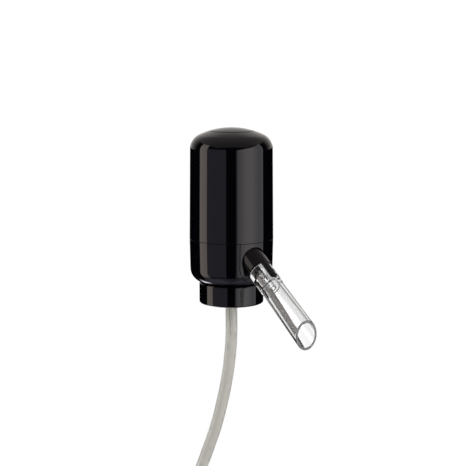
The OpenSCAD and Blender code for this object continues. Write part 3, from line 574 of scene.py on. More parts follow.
# %% Spin the upper housing
WALL = 2.0
SHOULDER_DRAFT = 0.5
CORNER_R, CORNER_STEPS = 10.0, 28
CROWN_R, CROWN_STEPS = 48.0, 14
RIM_SOFT, OPENING_SOFT = 0.12, 0.3
BUTTON_GAP = 0.35
STEM_R = 2.6
WELL_TOP, WELL_BOTTOM, WELL_WALL = 93.3, 92.1, 1.2
cover_low, cover_high = span("upper_housing")
button_low, button_high = span("top_button")
seam_r, cover_z = cover_high.x, cover_low.z
crown_z, button_r = button_high.z, button_high.x
shoulder_r = seam_r - SHOULDER_DRAFT
corner_x = shoulder_r - CORNER_R
crown_mid = crown_z - CROWN_R
corner_mid = crown_mid + math.sqrt((CROWN_R - CORNER_R) ** 2 - corner_x ** 2)
tangent = math.degrees(math.atan2(corner_mid - crown_mid, corner_x))


def crown_angle(radius, ball):
    """Angle above the level at which the crown has this radius."""
    return math.degrees(math.acos(radius / ball))


open_r, guide_r = button_r + BUTTON_GAP, STEM_R + BUTTON_GAP
well_r = open_r + WELL_WALL
inner_r = CROWN_R - WALL
inner_start = crown_angle(well_r, inner_r)
inner_z = crown_mid + inner_r * math.sin(math.radians(inner_start))
upper = Section(seam_r - WALL, cover_z).line(seam_r, cover_z, RIM_SOFT).line(shoulder_r, corner_mid)
upper.arc(corner_x, corner_mid, tangent, CORNER_STEPS)
upper.arc(0, crown_mid, crown_angle(open_r, CROWN_R) - tangent, CROWN_STEPS, OPENING_SOFT)
upper.line(open_r, WELL_TOP).line(guide_r, WELL_TOP).line(guide_r, WELL_BOTTOM)
upper.line(well_r, WELL_BOTTOM).line(well_r, inner_z)
upper.arc(0, crown_mid, tangent - inner_start, CROWN_STEPS)
upper.arc(corner_x, corner_mid, -tangent, CORNER_STEPS)
dress(upper.spun("upper_shell"), "cover", "gloss_black", ["upper_housing"])

# %% [markdown]
# ## Button
# The button is a round cap that continues the crown. A thin dark gap is all that tells it from
# the cover. A skirt keeps it straight in the well, and its stem ends just above the switch.

# %% Spin the button
CAP_T = 2.2
SKIRT_H, SKIRT_T = 4.5, 1.4
CLIP_Z, CLIP_T, CLIP_DEPTH = 91.2, 0.7, 0.6
STEM_SOFT, EDGE_SOFT = 0.3, 0.7
SPRING_R, SPRING_ROOM = 5.0, 1.0
stem_end = button_low.z
groove_r, groove_top = STEM_R - CLIP_DEPTH, CLIP_Z + CLIP_T
edge_z = crown_mid + math.sqrt(CROWN_R ** 2 - button_r ** 2)
skirt_r, skirt_z = button_r - SKIRT_T, edge_z - SKIRT_H
under_z = crown_mid + math.sqrt((CROWN_R - CAP_T) ** 2 - (SPRING_R + SPRING_ROOM) ** 2)
cap = Section(0, stem_end).line(STEM_R, stem_end, STEM_SOFT).line(STEM_R, CLIP_Z)
cap.line(groove_r, CLIP_Z).line(groove_r, groove_top).line(STEM_R, groove_top)
cap.line(STEM_R, under_z).line(skirt_r, under_z).line(skirt_r, skirt_z)
cap.line(button_r, skirt_z, RIM_SOFT).line(button_r, edge_z, EDGE_SOFT)
cap.arc(0, crown_mid, 90 - crown_angle(button_r, CROWN_R), CROWN_STEPS)
dress(cap.spun("button_cap", closed=False), "button", "button_black", ["top_button"])

# %% [markdown]
# ## Lower housing
# The lower shell narrows into a round foot, and a thin tongue at its top enters the cover. A slot
# with a round bottom is cut into its front, and a panel of the same wall fills that slot. Both
# come from one section, so that their surfaces run on, and a Boolean cuts each to its outline.
# Posts inside take the deck's screws, and are kept from poking out of the round foot.

# %% Spin and cut the lower housing
FOOT_DRAFT = 0.4
FOOT_ROUND, FOOT_STEPS, FOOT_INNER_STEPS = 9.0, 24, 16
SEAM_GAP = 0.2
PLUG_BORE_R = 5.2
TONGUE_OUT, TONGUE_T, TONGUE_ROOT, TONGUE_SOFT = 0.3, 0.9, 4.0, 0.2
PANEL_W, PANEL_FOOT = 20.0, 2.5
SLOT_AHEAD, SLOT_BEHIND = 1.0, 7.0
POST_IN, POST_R, POST_ANGLES = 6.3, 3.0, (0, 90, 180)
SHELL_EDGE = 0.06
lower_low, lower_high = span("lower_housing")
body_z, seam_z = lower_low.z, cover_z - SEAM_GAP
deck_z = span("battery_cage")[0].z
foot_r = seam_r - FOOT_DRAFT
foot_x, foot_mid = foot_r - FOOT_ROUND, body_z + FOOT_ROUND
tongue_r = seam_r - WALL - TONGUE_OUT
slot_mid = body_z + PANEL_FOOT + PANEL_W / 2


def lower_wall(with_tongue):
    """Section of the lower housing's wall, with or without the tongue at its top."""
    wall = Section(PLUG_BORE_R, body_z).line(foot_x, body_z)
    wall.arc(foot_x, foot_mid, 90, FOOT_STEPS).line(seam_r, seam_z, RIM_SOFT)
    if with_tongue:
        inner, root = tongue_r - TONGUE_T, seam_z - TONGUE_ROOT
        wall.line(tongue_r, seam_z).line(tongue_r, lower_high.z, TONGUE_SOFT)
        wall.line(inner, lower_high.z, TONGUE_SOFT).line(inner, root)
        wall.line(seam_r - WALL, root - TONGUE_T)
    else:
        wall.line(seam_r - WALL, seam_z)
    wall.line(foot_r - WALL, foot_mid).arc(foot_x, foot_mid, -90, FOOT_INNER_STEPS)
    return wall.line(PLUG_BORE_R, body_z + WALL)


def slot_tool(gap):
    """A bar with a round foot, pushed through the front wall, as the slot or the panel."""
    half = PANEL_W / 2 - gap
    front, back = -seam_r - SLOT_AHEAD, -seam_r + WALL + SLOT_BEHIND
    level = Matrix.Rotation(-math.pi / 2, 4, "X")
    tool = rod(half, 0, back - front, shift(0, front, slot_mid) @ level)
    return carve(tool, block((-half, front, slot_mid), (half, back, seam_z)), "UNION")


def deck_post(angle):
    """A post for a deck screw, kept inside the middle of the wall."""
    mid_z = body_z + WALL / 2
    inside = Section(0, mid_z).line(foot_x, mid_z).arc(foot_x, foot_mid, 90, FOOT_STEPS)
    inside.line(seam_r - WALL / 2, seam_z).line(0, seam_z)
    place = Matrix.Rotation(math.radians(angle), 4, "Z") @ shift(seam_r - POST_IN)
    post = rod(POST_R, body_z, deck_z, place)
    return carve(post, inside.spun("inside", closed=False), "INTERSECT")


lower = carve(lower_wall(True).spun("lower_shell"), slot_tool(0))
for angle in POST_ANGLES:
    carve(lower, deck_post(angle), "UNION")
dress(lower, "base", "gloss_black", ["lower_housing"], edge=SHELL_EDGE)

# %% [markdown]
# ## Front panel
# The panel is what the slot's outline leaves of the same wall, a little smaller, so that a fine
# dark line runs round it. The spout slopes down through it. One matrix says where the spout's own
# axis lies: local Z runs outwards along it. Every turned piece of the spout is placed by that.

# %% Cut the panel
PANEL_GAP, PANEL_EDGE = 0.42, 0.1
BOSS_LEN, BOSS_OUT_R, BOSS_GAP = 7.5, 8.2, 0.3
BOSS_IN = 20.0
spout_frame = shift(0, -seam_r, SPOUT_Z) @ Matrix.Rotation(math.pi / 2 + SPOUT_SLOPE, 4, "X")
panel = carve(lower_wall(False).spun("spout_panel_skin"), slot_tool(PANEL_GAP), "INTERSECT")
carve(panel, rod(BOSS_OUT_R + BOSS_GAP, -BOSS_IN, BOSS_IN, spout_frame))
dress(panel, "base", "gloss_black", ["spout_panel"], edge=PANEL_EDGE)

# %% [markdown]
# ## Spout boss
# The boss is a short round stub. It is turned about the spout's axis, trimmed inside the housing,
# and backed there by a flat plate. A tongue on its upper side locks into the clear spout: a thin
# bar crossed with a round one, so that its top follows the boss. Its end is round like the notch.

# %% Make the boss
SPIGOT_R, FIT = 4.6, 0.02
SLEEVE_LEN = 15.0
NOTCH_W, NOTCH_LEN = 5.0, 13.5
TOUCH_GAP, KEY_GAP, KEY_DROP, KEY_ROOT = 0.2, 0.15, 0.1, 1.0
KEY_LOW, KEY_HIGH, KEY_OVER = 3.0, 20.0, 0.5
PLATE_T, PLATE_W, PLATE_Z = 1.5, 16.0, foot_mid - 1.5
TRIM_WIDE, TRIM_NEAR, TRIM_FAR = 20.0, 40.0, 80.0
BORE_REACH = 30.0
BOSS_SOFT, BOSS_EDGE = 0.5, 0.12
root_t = BOSS_LEN + TOUCH_GAP
step_t = root_t + SLEEVE_LEN
round_t = root_t + NOTCH_LEN - NOTCH_W / 2
boss_high = span("spout_boss")[1]


def key_tool(start, gap):
    """A bar with a round end along the top of the spout, as its notch or the tongue in it."""
    half, end = NOTCH_W / 2 - gap, round_t - gap
    upward = spout_frame @ shift(z=end) @ Matrix.Rotation(-math.pi / 2, 4, "X")
    bar = block((-half, KEY_LOW, start), (half, KEY_HIGH, end), spout_frame)
    return carve(bar, rod(half, KEY_LOW - KEY_OVER, KEY_HIGH + KEY_OVER, upward), "UNION")


stub = Section(0, -BOSS_IN).line(BOSS_OUT_R, -BOSS_IN)
stub.line(BOSS_OUT_R, BOSS_LEN, BOSS_SOFT).line(0, BOSS_LEN)
boss = stub.spun("spout_stub", closed=False, place=spout_frame)
trim_end = (TRIM_WIDE, TRIM_NEAR, TRIM_FAR)
carve(boss, block((-TRIM_WIDE, boss_high.y, -TRIM_NEAR), trim_end))
carve(boss, block((-TRIM_WIDE, -TRIM_NEAR, boss_high.z), trim_end))
plate_low = (-PLATE_W / 2, boss_high.y - PLATE_T, PLATE_Z)
carve(boss, block(plate_low, (PLATE_W / 2, boss_high.y, boss_high.z)), "UNION")
tongue = rod(BOSS_OUT_R - KEY_DROP, BOSS_LEN - KEY_ROOT, step_t, spout_frame)
carve(boss, carve(tongue, key_tool(BOSS_LEN - KEY_ROOT, KEY_GAP), "INTERSECT"), "UNION")
carve(boss, rod(SPIGOT_R + FIT, -BORE_REACH, BORE_REACH, spout_frame))
boss_finish = polished_black("boss_black_moulding", 0.08, 0.25)
dress(boss, "base", "gloss_black", ["spout_boss"], boss_finish, BOSS_EDGE)

# %% [markdown]
# ## Clear spout
# The spout slides on a spigot. Its root is a thick sleeve with a notch for the tongue, and its thin
# tube flares gently to a tip that is cut upright, while its bore widens evenly from the sleeve to
# the tip. The long walls are drawn in parts, so that no face gets too long. The section is spun, a
# bisect makes the upright cut, and bridging the two cut loops closes the rim.

# %% Spin and cut the clear spout
SLEEVE_R, TUBE_R, TIP_R, SPOUT_WALL = 7.6, 7.1, 7.7, 1.2
SPOUT_LEN, LONG_PARTS = 57.0, 10
BORE_R, END_RING = SPIGOT_R + 0.05, 0.7
STEP_FROM, STEP_TO, FLARE_FROM = 0.4, 0.2, 1.2
RIM_BEVEL, SPOUT_EDGE = 0.22, 0.12
spout_low = span("clear_spout")[0]
far_t = BOSS_LEN + SPOUT_LEN + TIP_R
glass = Section(BORE_R, root_t).line(SLEEVE_R - END_RING, root_t).line(SLEEVE_R, root_t, 0.25)
glass.line(SLEEVE_R, SPIGOT_END).line(SLEEVE_R, step_t - STEP_FROM, 0.6)
glass.line(TUBE_R, step_t + STEP_TO, 0.4).line(TIP_R, far_t, parts=LONG_PARTS)
glass.line(TIP_R - SPOUT_WALL, far_t)
glass.line(BORE_R, step_t - FLARE_FROM, parts=LONG_PARTS).line(BORE_R, SPIGOT_END)
spout = glass.spun("spout_tube", place=spout_frame)
bm = bmesh.new()
bm.from_mesh(spout.data)
cut = bmesh.ops.bisect_plane(bm, geom=bm.verts[:] + bm.edges[:] + bm.faces[:], clear_outer=True,
                             plane_co=(0, spout_low.y * MM, 0), plane_no=(0, -1, 0))
rim = [e for e in cut["geom_cut"] if isinstance(e, bmesh.types.BMEdge)]
bmesh.ops.bridge_loops(bm, edges=rim)
bmesh.ops.bevel(bm, geom=rim, offset=RIM_BEVEL * MM, offset_type="OFFSET", affect="EDGES",
                segments=3, profile=0.5, material=-1)
bmesh.ops.recalc_face_normals(bm, faces=bm.faces)
bm.to_mesh(spout.data)
bm.free()
carve(spout, key_tool(root_t - KEY_ROOT, 0))
dress(spout, "spout", "clear_spout", ["clear_spout"], edge=SPOUT_EDGE)

# %% [markdown]
# ## Faces of the spout
# One piece can wear several finishes, because each face keeps the number of its material. The
# end of the sleeve and the notch walls are satin painted near white, a painted highlight that
# draws them as bright lines, and the cut rim is a darker satin. The bore is black where the black
# spigot fills it, and the outer face over the spigot bends light less, so that it mirrors less than
# the tube.

# %% Give the spout's faces their finishes
PAINTED_EDGE_HIGHLIGHT, RIM, LINING, ROOT = 1, 2, 3, 4
ROOT_IOR = 1.15
LEVEL, UPRIGHT, SKIN = 0.3, 0.95, 0.3
# The first satin is near white: painted highlight that draws the sleeve's end and the notch walls as
# bright lines.
for extra in (satin_plastic("spout_edge_painted_highlight", 0.95), satin_plastic("spout_rim_satin", 0.28),
              polished_black("spout_lining_black", 0.08, 0.25),
              clear_plastic("spout_root_plastic", bend=ROOT_IOR)):
    spout.data.materials.append(extra)
to_local = spout_frame.inverted()
for face in spout.data.polygons:
    spot, way = to_local @ face.center / MM, to_local.to_3x3() @ face.normal
    out = spot.xy.length
    in_notch = abs(spot.x) < NOTCH_W / 2 + 0.05 and abs(way.y) < LEVEL and spot.y > BORE_R / 2
    on_end = spot.z < root_t + SKIN and way.z < -0.15 and out > SLEEVE_R - END_RING
    if on_end or (in_notch and root_t < spot.z < step_t - 1):
        face.material_index = PAINTED_EDGE_HIGHLIGHT
    elif face.normal.y < -UPRIGHT:
        face.material_index = RIM
    elif spot.z < SPIGOT_END and abs(way.z) < LEVEL and out < BORE_R + 0.1:
        face.material_index = LINING
    elif spot.z < SPIGOT_END and out > SLEEVE_R - SKIN:
        face.material_index = ROOT
print("finishes of the spout:", len(spout.data.materials))

# %% [markdown]
# ## Nozzle core
# Inside the sleeve a black spigot carries the spout, and a small clear nozzle stands out of it.
# Both are one turned piece. The same clear finish serves for both: where its tint is black, no
# light comes through, and only the gloss is left.

# %% Spin the nozzle core
SPIGOT_IN, NOZZLE_R, NOZZLE_OUT, CORE_BORE_R = -4.0, 2.4, 1.2, 1.6
CORE_SOFT, NOZZLE_SOFT = 0.2, 0.3
nozzle_t = step_t + NOZZLE_OUT
core = Section(CORE_BORE_R, SPIGOT_IN).line(SPIGOT_R, SPIGOT_IN)
core.line(SPIGOT_R, SPIGOT_END, CORE_SOFT).line(NOZZLE_R, SPIGOT_END, CORE_SOFT)
core.line(NOZZLE_R, nozzle_t, NOZZLE_SOFT).line(CORE_BORE_R, nozzle_t, NOZZLE_SOFT)
dress(core.spun("nozzle_stem", place=spout_frame), "base", "clear_spout", ["nozzle_core"],
      clear_plastic("nozzle_plastic", SPIGOT_END))

# %% [markdown]
# ## Collar and stopper
# The collar is a plain gloss ring under the housing. Inside it sits the silicone stopper, whose
# three ribs do the sealing. Both are turned, with softened corners.

# %% Spin the collar and the stopper
NECK_R, LIP_R = 6.9, 15.2
COLLAR_SOFT, LIP_SOFT = 1.2, 0.4
FLANGE_T, FLANGE_SOFT = 1.5, 0.3
RIBS, RIB_R, RIB_DEPTH, RIB_H, GROOVE_H = 3, 9.4, 0.8, 2.0, 1.0
RIB_SOFT, GROOVE_SOFT, END_SOFT = 0.5, 0.2, 0.35
collar_low, collar_high = span("bottle_collar")
plug_low, plug_high = span("stopper_plug")
ring = Section(NECK_R + FIT, FLANGE_T).line(LIP_R, FLANGE_T).line(LIP_R, collar_low.z, LIP_SOFT)
ring.line(collar_high.x, collar_low.z, COLLAR_SOFT).line(collar_high.x, collar_high.z, COLLAR_SOFT)
ring.line(NECK_R + FIT, collar_high.z)
dress(ring.spun("collar_ring"), "base", "gloss_black", ["bottle_collar"])

plug = Section(PLUG_BORE_R, plug_high.z).line(NECK_R, plug_high.z).line(NECK_R, FLANGE_T)
plug.line(plug_high.x, FLANGE_T, FLANGE_SOFT).line(plug_high.x, 0, FLANGE_SOFT)
for rib in range(RIBS):
    top = -rib * (RIB_H + GROOVE_H)
    foot, waist_r = top - RIB_H, RIB_R - RIB_DEPTH
    plug.line(RIB_R, top, RIB_SOFT if rib else 0).line(RIB_R, foot, RIB_SOFT)
    plug.line(waist_r, foot, GROOVE_SOFT)
    plug.line(waist_r, foot - GROOVE_H, GROOVE_SOFT if rib < RIBS - 1 else END_SOFT)
plug.line(PLUG_BORE_R, plug_low.z, FLANGE_SOFT)
dress(plug.spun("stopper_ribs"), "base", "silicone", ["stopper_plug"])

# %% [markdown]
# ## Springs
# A coil spring is a wire wound along a helix: a curve with a thickness, with twelve points to each
# turn. The one under the button stands on the cover's well.
# The four others press the cells against their contacts.

# %% Wind the springs
WIRE_R = 0.3
POINTS_PER_CURL = 12
BUTTON_CURLS, CELL_CURLS = 4, 2
CELL_COIL_R = 3.25


def coil(name, radius, low, high, curls, middle=(0, 0), wire=WIRE_R):
    """A spring of round wire that stands between two heights, in millimetres."""
    last = curls * POINTS_PER_CURL
    points = []
    for i in range(last + 1):
        angle = math.tau * i / POINTS_PER_CURL
        x, y = middle[0] + radius * math.cos(angle), middle[1] + radius * math.sin(angle)
        points.append(Vector((x, y, low + wire + (high - low - 2 * wire) * i / last)) * MM)
    return swept(name, points, wire * MM, True, 3, 3)


def joined(name, pieces):
    """One piece that holds the meshes of several, which are removed."""
    bm = bmesh.new()
    for piece in pieces:
        bm.from_mesh(piece.data)
        bpy.data.meshes.remove(piece.data)
    return solid_piece(name, bm)


spring_low, spring_high = span("button_spring")
spring = coil("return_coil", SPRING_R, spring_low.z, spring_high.z, BUTTON_CURLS)
dress(spring, "cover", "steel", ["button_spring"])
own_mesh(spring)
cell_boxes = {number: span(f"battery_cell_{number}") for number in range(1, 5)}
cell_foot = span("cell_springs")[0].z
coils = [coil("cell_coil", CELL_COIL_R, cell_foot, low.z, CELL_CURLS, (low + high) / 2)
         for low, high in cell_boxes.values()]
dress(joined("cell_coils", coils), "base", "steel", ["cell_springs"])

# %% [markdown]
# ## Cells
# Each cell is a rounded can in a foil jacket, with a rolled groove under its top and a small nub.
# Its section is spun round its own axis. The nub and the ends stay bare metal.

# %% Spin the cells
CELL_R, NUB_R, NUB_H, BARE_R = 5.25, 1.9, 0.8, 4.4
ROLL_FOOT, ROLL_MID, ROLL_HEAD, ROLL_DEPTH = 2.6, 2.1, 1.6, 0.3
DISH = 0.3
ROUND_STEPS = 64
for number, (low, high) in cell_boxes.items():
    middle = (low + high) / 2 * MM
    top = high.z - NUB_H
    can = Section(0, low.z).line(CELL_R, low.z, 0.7).line(CELL_R, top - ROLL_FOOT, 0.3)
    can.line(CELL_R - ROLL_DEPTH, top - ROLL_MID, 0.2).line(CELL_R, top - ROLL_HEAD, 0.3)
    can.line(CELL_R, top, 0.5).line(BARE_R, top, 0.1).line(BARE_R - 0.2, top - DISH)
    can.line(NUB_R + 0.3, top - DISH, 0.15).line(NUB_R, top, 0.1)
    can.line(NUB_R, high.z, 0.3).line(0, high.z)
    upright = Matrix.Translation((middle.x, middle.y, 0))
    cell = can.spun(f"cell_{number}", False, upright, ROUND_STEPS)
    dress(cell, "base", "cell_jacket", [f"battery_cell_{number}"])
    cell.data.materials.append(finishes["steel"])
    for face in cell.data.polygons:
        if (face.center.xy - middle.xy).length < BARE_R * MM:
            face.material_index = 1

# %% [markdown]
# ## Air line and leads
# Two short silicone sleeves join the pump, the check valve and the fitting below. Two insulated
# leads run from the motor to the board, with their ends turned thinner.

# %% Turn the air line and the leads
AIR_R, AIR_BORE_R, VALVE_HALF = 2.6, 1.62, 2.1
AIR_SOFT, AIR_STEPS = 0.3, 48
LEAD_R, STRAND_R, BARE_LEN = 0.6, 0.4, 0.9
LEAD_SOFT, LEAD_STEPS = 0.1, 24
air_low, air_high = span("air_hoses")
valve_low, valve_high = span("air_check_valve")
valve_mid = (valve_low + valve_high) / 2
air_axis = shift(valve_mid.x, valve_mid.y)
sleeves = []
for low, high in ((air_low.z, valve_mid.z - VALVE_HALF), (valve_mid.z + VALVE_HALF, air_high.z)):
    sleeve = Section(AIR_BORE_R, low).line(AIR_R, low, AIR_SOFT).line(AIR_R, high, AIR_SOFT)
    sleeve.line(AIR_BORE_R, high)
    sleeves.append(sleeve.spun("sleeve", True, air_axis, AIR_STEPS))
dress(joined("air_line", sleeves), "base", "silicone", ["air_hoses"])
lead_low, lead_high = span("motor_leads")
low, high = lead_low.z, lead_high.z
leads = []
for x in (lead_low.x + LEAD_R, lead_high.x - LEAD_R):
    lead = Section(0, low).line(STRAND_R, low).line(STRAND_R, low + BARE_LEN)
    lead.line(LEAD_R, low + BARE_LEN, LEAD_SOFT).line(LEAD_R, high - BARE_LEN, LEAD_SOFT)
    lead.line(STRAND_R, high - BARE_LEN).line(STRAND_R, high).line(0, high)
    leads.append(lead.spun("lead", False, shift(x), LEAD_STEPS))
dress(joined("insulated_leads", leads), "base", "lead_red", ["motor_leads"])

# %% [markdown]
# ## Chips and legs
# The board carries two chips on bent legs, a few small resistors with tinned ends, and the pins of
# a socket. All are blocks with softened edges. A leg is three of them: out, down and along.

# %% Set the chips and their legs
CHIP, CHIP_FOOT, CHIP_H, CHIP_X = 6.0, 0.25, 1.4, 10.0
LEG_ROWS, LEG_W = (-2.1, -0.7, 0.7, 2.1), 0.45
# How far out each block of a leg lies, how long it is, and its heights
LEG_BLOCKS = [(0.15, 0.5, 0.6, 0.75), (0.4, 0.16, 0, 0.75), (0.65, 0.6, 0, 0.14)]
RESISTORS = [(-14, -6), (-11, -9), (11, -9), (14, -6), (0, 8), (0, 11.5)]
# Width, depth and heights of small blocks
RESISTOR, TIN, PIN = (1.2, 0.9, 0, 0.5), (0.4, 0.92, 0, 0.52), (0.6, 0.6, 0, 1.6)
TIN_OUT, PIN_ROW = 0.75, (-2.4, -0.8, 0.8, 2.4)
SOCKET_W, SOCKET_D, SOCKET_H, SOCKET_Y = 8.0, 3.0, 2.0, -13.0
CHIP_EDGE, LEG_EDGE = 0.12, 0.04
board_z = span("circuit_board")[1].z
socket_mid = SOCKET_Y + SOCKET_D / 2


def part_block(x, y, wide, deep, low, high):
    """A block on the board, given by its middle, its size and its heights above the board."""
    return block((x - wide / 2, y - deep / 2, board_z + low),
                 (x + wide / 2, y + deep / 2, board_z + high))


chips = [part_block(x, 0, CHIP, CHIP, CHIP_FOOT, CHIP_H) for x in (-CHIP_X, CHIP_X)]
chips += [part_block(x, y, *RESISTOR) for x, y in RESISTORS]
dress(joined("board_chips", chips), "base", "core_black", ["board_parts"], edge=CHIP_EDGE)
legs = []
for x in (-CHIP_X, CHIP_X):
    for way in (-1, 1):
        for y in LEG_ROWS:
            legs += [part_block(x + way * (CHIP / 2 + out), y, wide, LEG_W, low, high)
                     for out, wide, low, high in LEG_BLOCKS]
for x, y in RESISTORS:
    legs += [part_block(x + way * TIN_OUT, y, *TIN) for way in (-1, 1)]
legs += [part_block(x, socket_mid, *PIN) for x in PIN_ROW]
dress(joined("board_legs", legs), "base", "contact_metal", edge=LEG_EDGE)

# %% [markdown]
# ## Capacitor, choke and socket
# The capacitor is a turned can with a rolled groove and a top that is scored crosswise. The choke is
# a drum with copper wire wound round its waist, and the socket is an open box around the pins.

# %% Turn the capacitor and the choke, and hollow the socket
CAN_R, CAN_H, CAN_SPOT = 2.5, 4.6, (-7.0, 9.0)
CAN_ROLLS = ((0, 0.7), (0.2, 1), (0, 1.3))
SCORE_LEN, SCORE_W, SCORE_DEPTH = 3.6, 0.22, 0.15
DRUM_R, DRUM_H, DRUM_SPOT = 3.0, 3.2, (8.0, 10.0)
WAIST_R, DISC_T, DRUM_SOFT = 1.9, 0.6, 0.2
WINDING_R, WINDING_CURLS = 2.2, 3
SOCKET_FLOOR, SOCKET_WALLS = 0.4, 1
can = Section(0, board_z).line(CAN_R, board_z, 0.2)
for inward, up in CAN_ROLLS:
    can.line(CAN_R - inward, board_z + up, 0.1)
can.line(CAN_R, board_z + CAN_H, 0.35).line(0, board_z + CAN_H)
can = can.spun("board_capacitor", False, shift(*CAN_SPOT), ROUND_STEPS)
for wide, deep in ((SCORE_LEN, SCORE_W), (SCORE_W, SCORE_LEN)):
    carve(can, part_block(*CAN_SPOT, wide, deep, CAN_H - SCORE_DEPTH, CAN_H + 1))
dress(can, "base", "steel")
disc_top, disc_foot, drum_top = board_z + DISC_T, board_z + DRUM_H - DISC_T, board_z + DRUM_H
drum = Section(0, board_z).line(DRUM_R, board_z, DRUM_SOFT).line(DRUM_R, disc_top, DRUM_SOFT)
drum.line(WAIST_R, disc_top).line(WAIST_R, disc_foot).line(DRUM_R, disc_foot, DRUM_SOFT)
drum.line(DRUM_R, drum_top, DRUM_SOFT).line(0, drum_top)
dress(drum.spun("board_choke", False, shift(*DRUM_SPOT), ROUND_STEPS), "base", "core_black")
winding = coil("choke_winding", WINDING_R, disc_top, disc_foot, WINDING_CURLS, DRUM_SPOT)
dress(winding, "base", "contact_metal", material=plated("copper_wire", (0.6, 0.25, 0.11), 0.2))
socket = part_block(0, socket_mid, SOCKET_W, SOCKET_D, 0, SOCKET_H)
carve(socket, part_block(0, socket_mid, SOCKET_W - SOCKET_WALLS, SOCKET_D - SOCKET_WALLS,
                         SOCKET_FLOOR, SOCKET_H + 1))
socket.name = "board_socket"
dress(socket, "base", "white_plastic", edge=CHIP_EDGE)

# %% [markdown]
# ## Screws
# A screw shows only its head: a turned dome with a cross recess, which two crossed blocks cut out.

# %% Turn the screws
SCREW_R, HEAD_R, HEAD_H = 1.0, 1.9, 1.4
DOME_FOOT, DOME_IN = 0.7, 0.7
RECESS_LEN, RECESS_W, RECESS_DEPTH = 1.9, 0.45, 0.8
SCREW_STEPS = 48
BOARD_ANGLES = (90, 210, 330)


def screws(name, node, ring, angles):
    """Screws that stand head up on a ring, from the bottom to the top of their solids."""
    low, high = span(node)
    head = high.z - HEAD_H
    floor, above = Vector((0, 0, high.z - RECESS_DEPTH)), Vector((0, 0, high.z + 1))
    made = []
    for angle in angles:
        turn = math.radians(angle)
        spot = Vector((ring * math.cos(turn), ring * math.sin(turn), 0))
        turned = Section(0, low.z).line(SCREW_R, low.z, 0.3).line(SCREW_R, head)
        turned.line(HEAD_R, head, 0.1).line(HEAD_R, head + DOME_FOOT, 0.4)
        turned.line(HEAD_R - DOME_IN, high.z, 0.3).line(0, high.z)
        bolt = turned.spun("screw", False, Matrix.Translation(spot * MM), SCREW_STEPS)
        for wide, deep in ((RECESS_LEN, RECESS_W), (RECESS_W, RECESS_LEN)):
            slit = Vector((wide / 2, deep / 2, 0))
            carve(bolt, block(spot - slit + floor, spot + slit + above))
        made.append(bolt)
    dress(joined(name, made), "base", "steel", [node])


screws("deck_bolts", "deck_screws", seam_r - POST_IN, POST_ANGLES)
screws("board_bolts", "board_screws", span("board_screws")[1].y - HEAD_R, BOARD_ANGLES)

# %% [markdown]
# ## Floor
# The floor is a disc that keeps the soft shadow and fades into the white of the backdrop, so it
# shows no edge. The fade is a Mix Shader between paper and plain white, by the distance from the
# middle. Reflections and the clear plastic don't see it, because the tent stands in for it there.

# %% Lay the floor
FLOOR_DROP = 8.0
FLOOR_R, FADE_START, FADE_END = 900.0, 120.0, 380.0
WHITE = grey(1)


def surface(tree, shader_wire, kind="Material"):
    """Makes this shader the one that is shown."""
    tree.links.new(shader_wire.socket, tree.nodes[kind + " Output"].inputs["Surface"])


floor_z = cad_box[0][2] / MM - FLOOR_DROP
bm = bmesh.new()
bmesh.ops.create_circle(bm, cap_ends=True, segments=96, radius=FLOOR_R * MM)
bmesh.ops.translate(bm, verts=bm.verts, vec=(0, 0, floor_z * MM))
floor = solid_piece("floor", bm)
floor.visible_glossy = floor.visible_transmission = False
pale, wire, shader = finish("pale_floor", Roughness=0.9)
away = wire.node("VectorMath", {0: wire.place(), 1: (0, 0, -floor_z * MM)}, operation="ADD")
away = wire.node("VectorMath", {0: away}, output="Value", operation="LENGTH") / MM
feed(wire, shader, wire.noise(60).mix(grey(0.9), grey(0.92)))
white = wire.node("Emission", {"Color": WHITE, "Strength": 1.0})
paper = Wire(wire.tree, shader.outputs[0])
surface(wire.tree, wire.node("MixShader", {0: away.ramp(FADE_START, FADE_END), 1: paper, 2: white}))
floor.data.materials.append(pale)
print("floor at", round(floor_z), "mm")

# %% [markdown]
# ## World
# A Light Path node tells the world which rays ask: the camera, reflections and the clear plastic
# see white, and everything else gets a dimmer light, so that colours keep their depth.

# %% Light the world
AMBIENT = 0.6
world = bpy.data.worlds.new("studio_world")
world.use_nodes = True
scene.world = world
wire = Wire(world.node_tree)
seen = wire.node("LightPath", output="Is Camera Ray")
for other in ("Is Glossy Ray", "Is Transmission Ray"):
    seen = seen.math("MAXIMUM", seen, wire.node("LightPath", output=other))
dim = wire.node("Background", {"Color": WHITE, "Strength": AMBIENT})
white = wire.node("Background", {"Color": WHITE, "Strength": 1.0})
surface(wire.tree, wire.node("MixShader", {0: seen, 1: dim, 2: white}), "World")
print("ambient light:", AMBIENT)

# %% [markdown]
# ## Light tent
# Gloss black shows nothing but what it mirrors. The light boxes are therefore painted on a tent, a
# large ball that only reflections and the clear plastic see. Places on it are angles, as they can
# be measured on a reflection: turn runs round the compass, from the camera to the right, rise runs
# up from the level, and over runs from the camera up and over the top.

# %% Pitch the tent
TENT_R = 2500.0
DEGREES = math.degrees(1)
bm = bmesh.new()
bmesh.ops.create_uvsphere(bm, u_segments=64, v_segments=32, radius=TENT_R * MM)
tent = solid_piece("tent", bm)
for kind in ("camera", "diffuse", "shadow", "volume_scatter"):
    setattr(tent, "visible_" + kind, False)
cloth, wire, _ = finish("tent_cloth")
place = wire.place()
ahead, aside = place.along(to_camera), place.along(to_right)
level = wire.node("SeparateXYZ", {0: place}, output=2)
turn = wire.math("ARCTAN2", aside, ahead) * DEGREES
rise = wire.math("ARCSINE", level / (TENT_R * MM)) * DEGREES
over = wire.math("ARCTAN2", level, ahead) * DEGREES
side = wire.math("ABSOLUTE", turn)
print("tent radius:", TENT_R, "mm")

# %% [markdown]
# ## Light boxes
# Each box is a range of turn and of height with soft edges. The gaps between the boxes stay black,
# and they draw the dark bands of the body. Rays that come through the clear plastic get another
# picture: white, with dark flags at the far side, which give the tube its dark streaks.

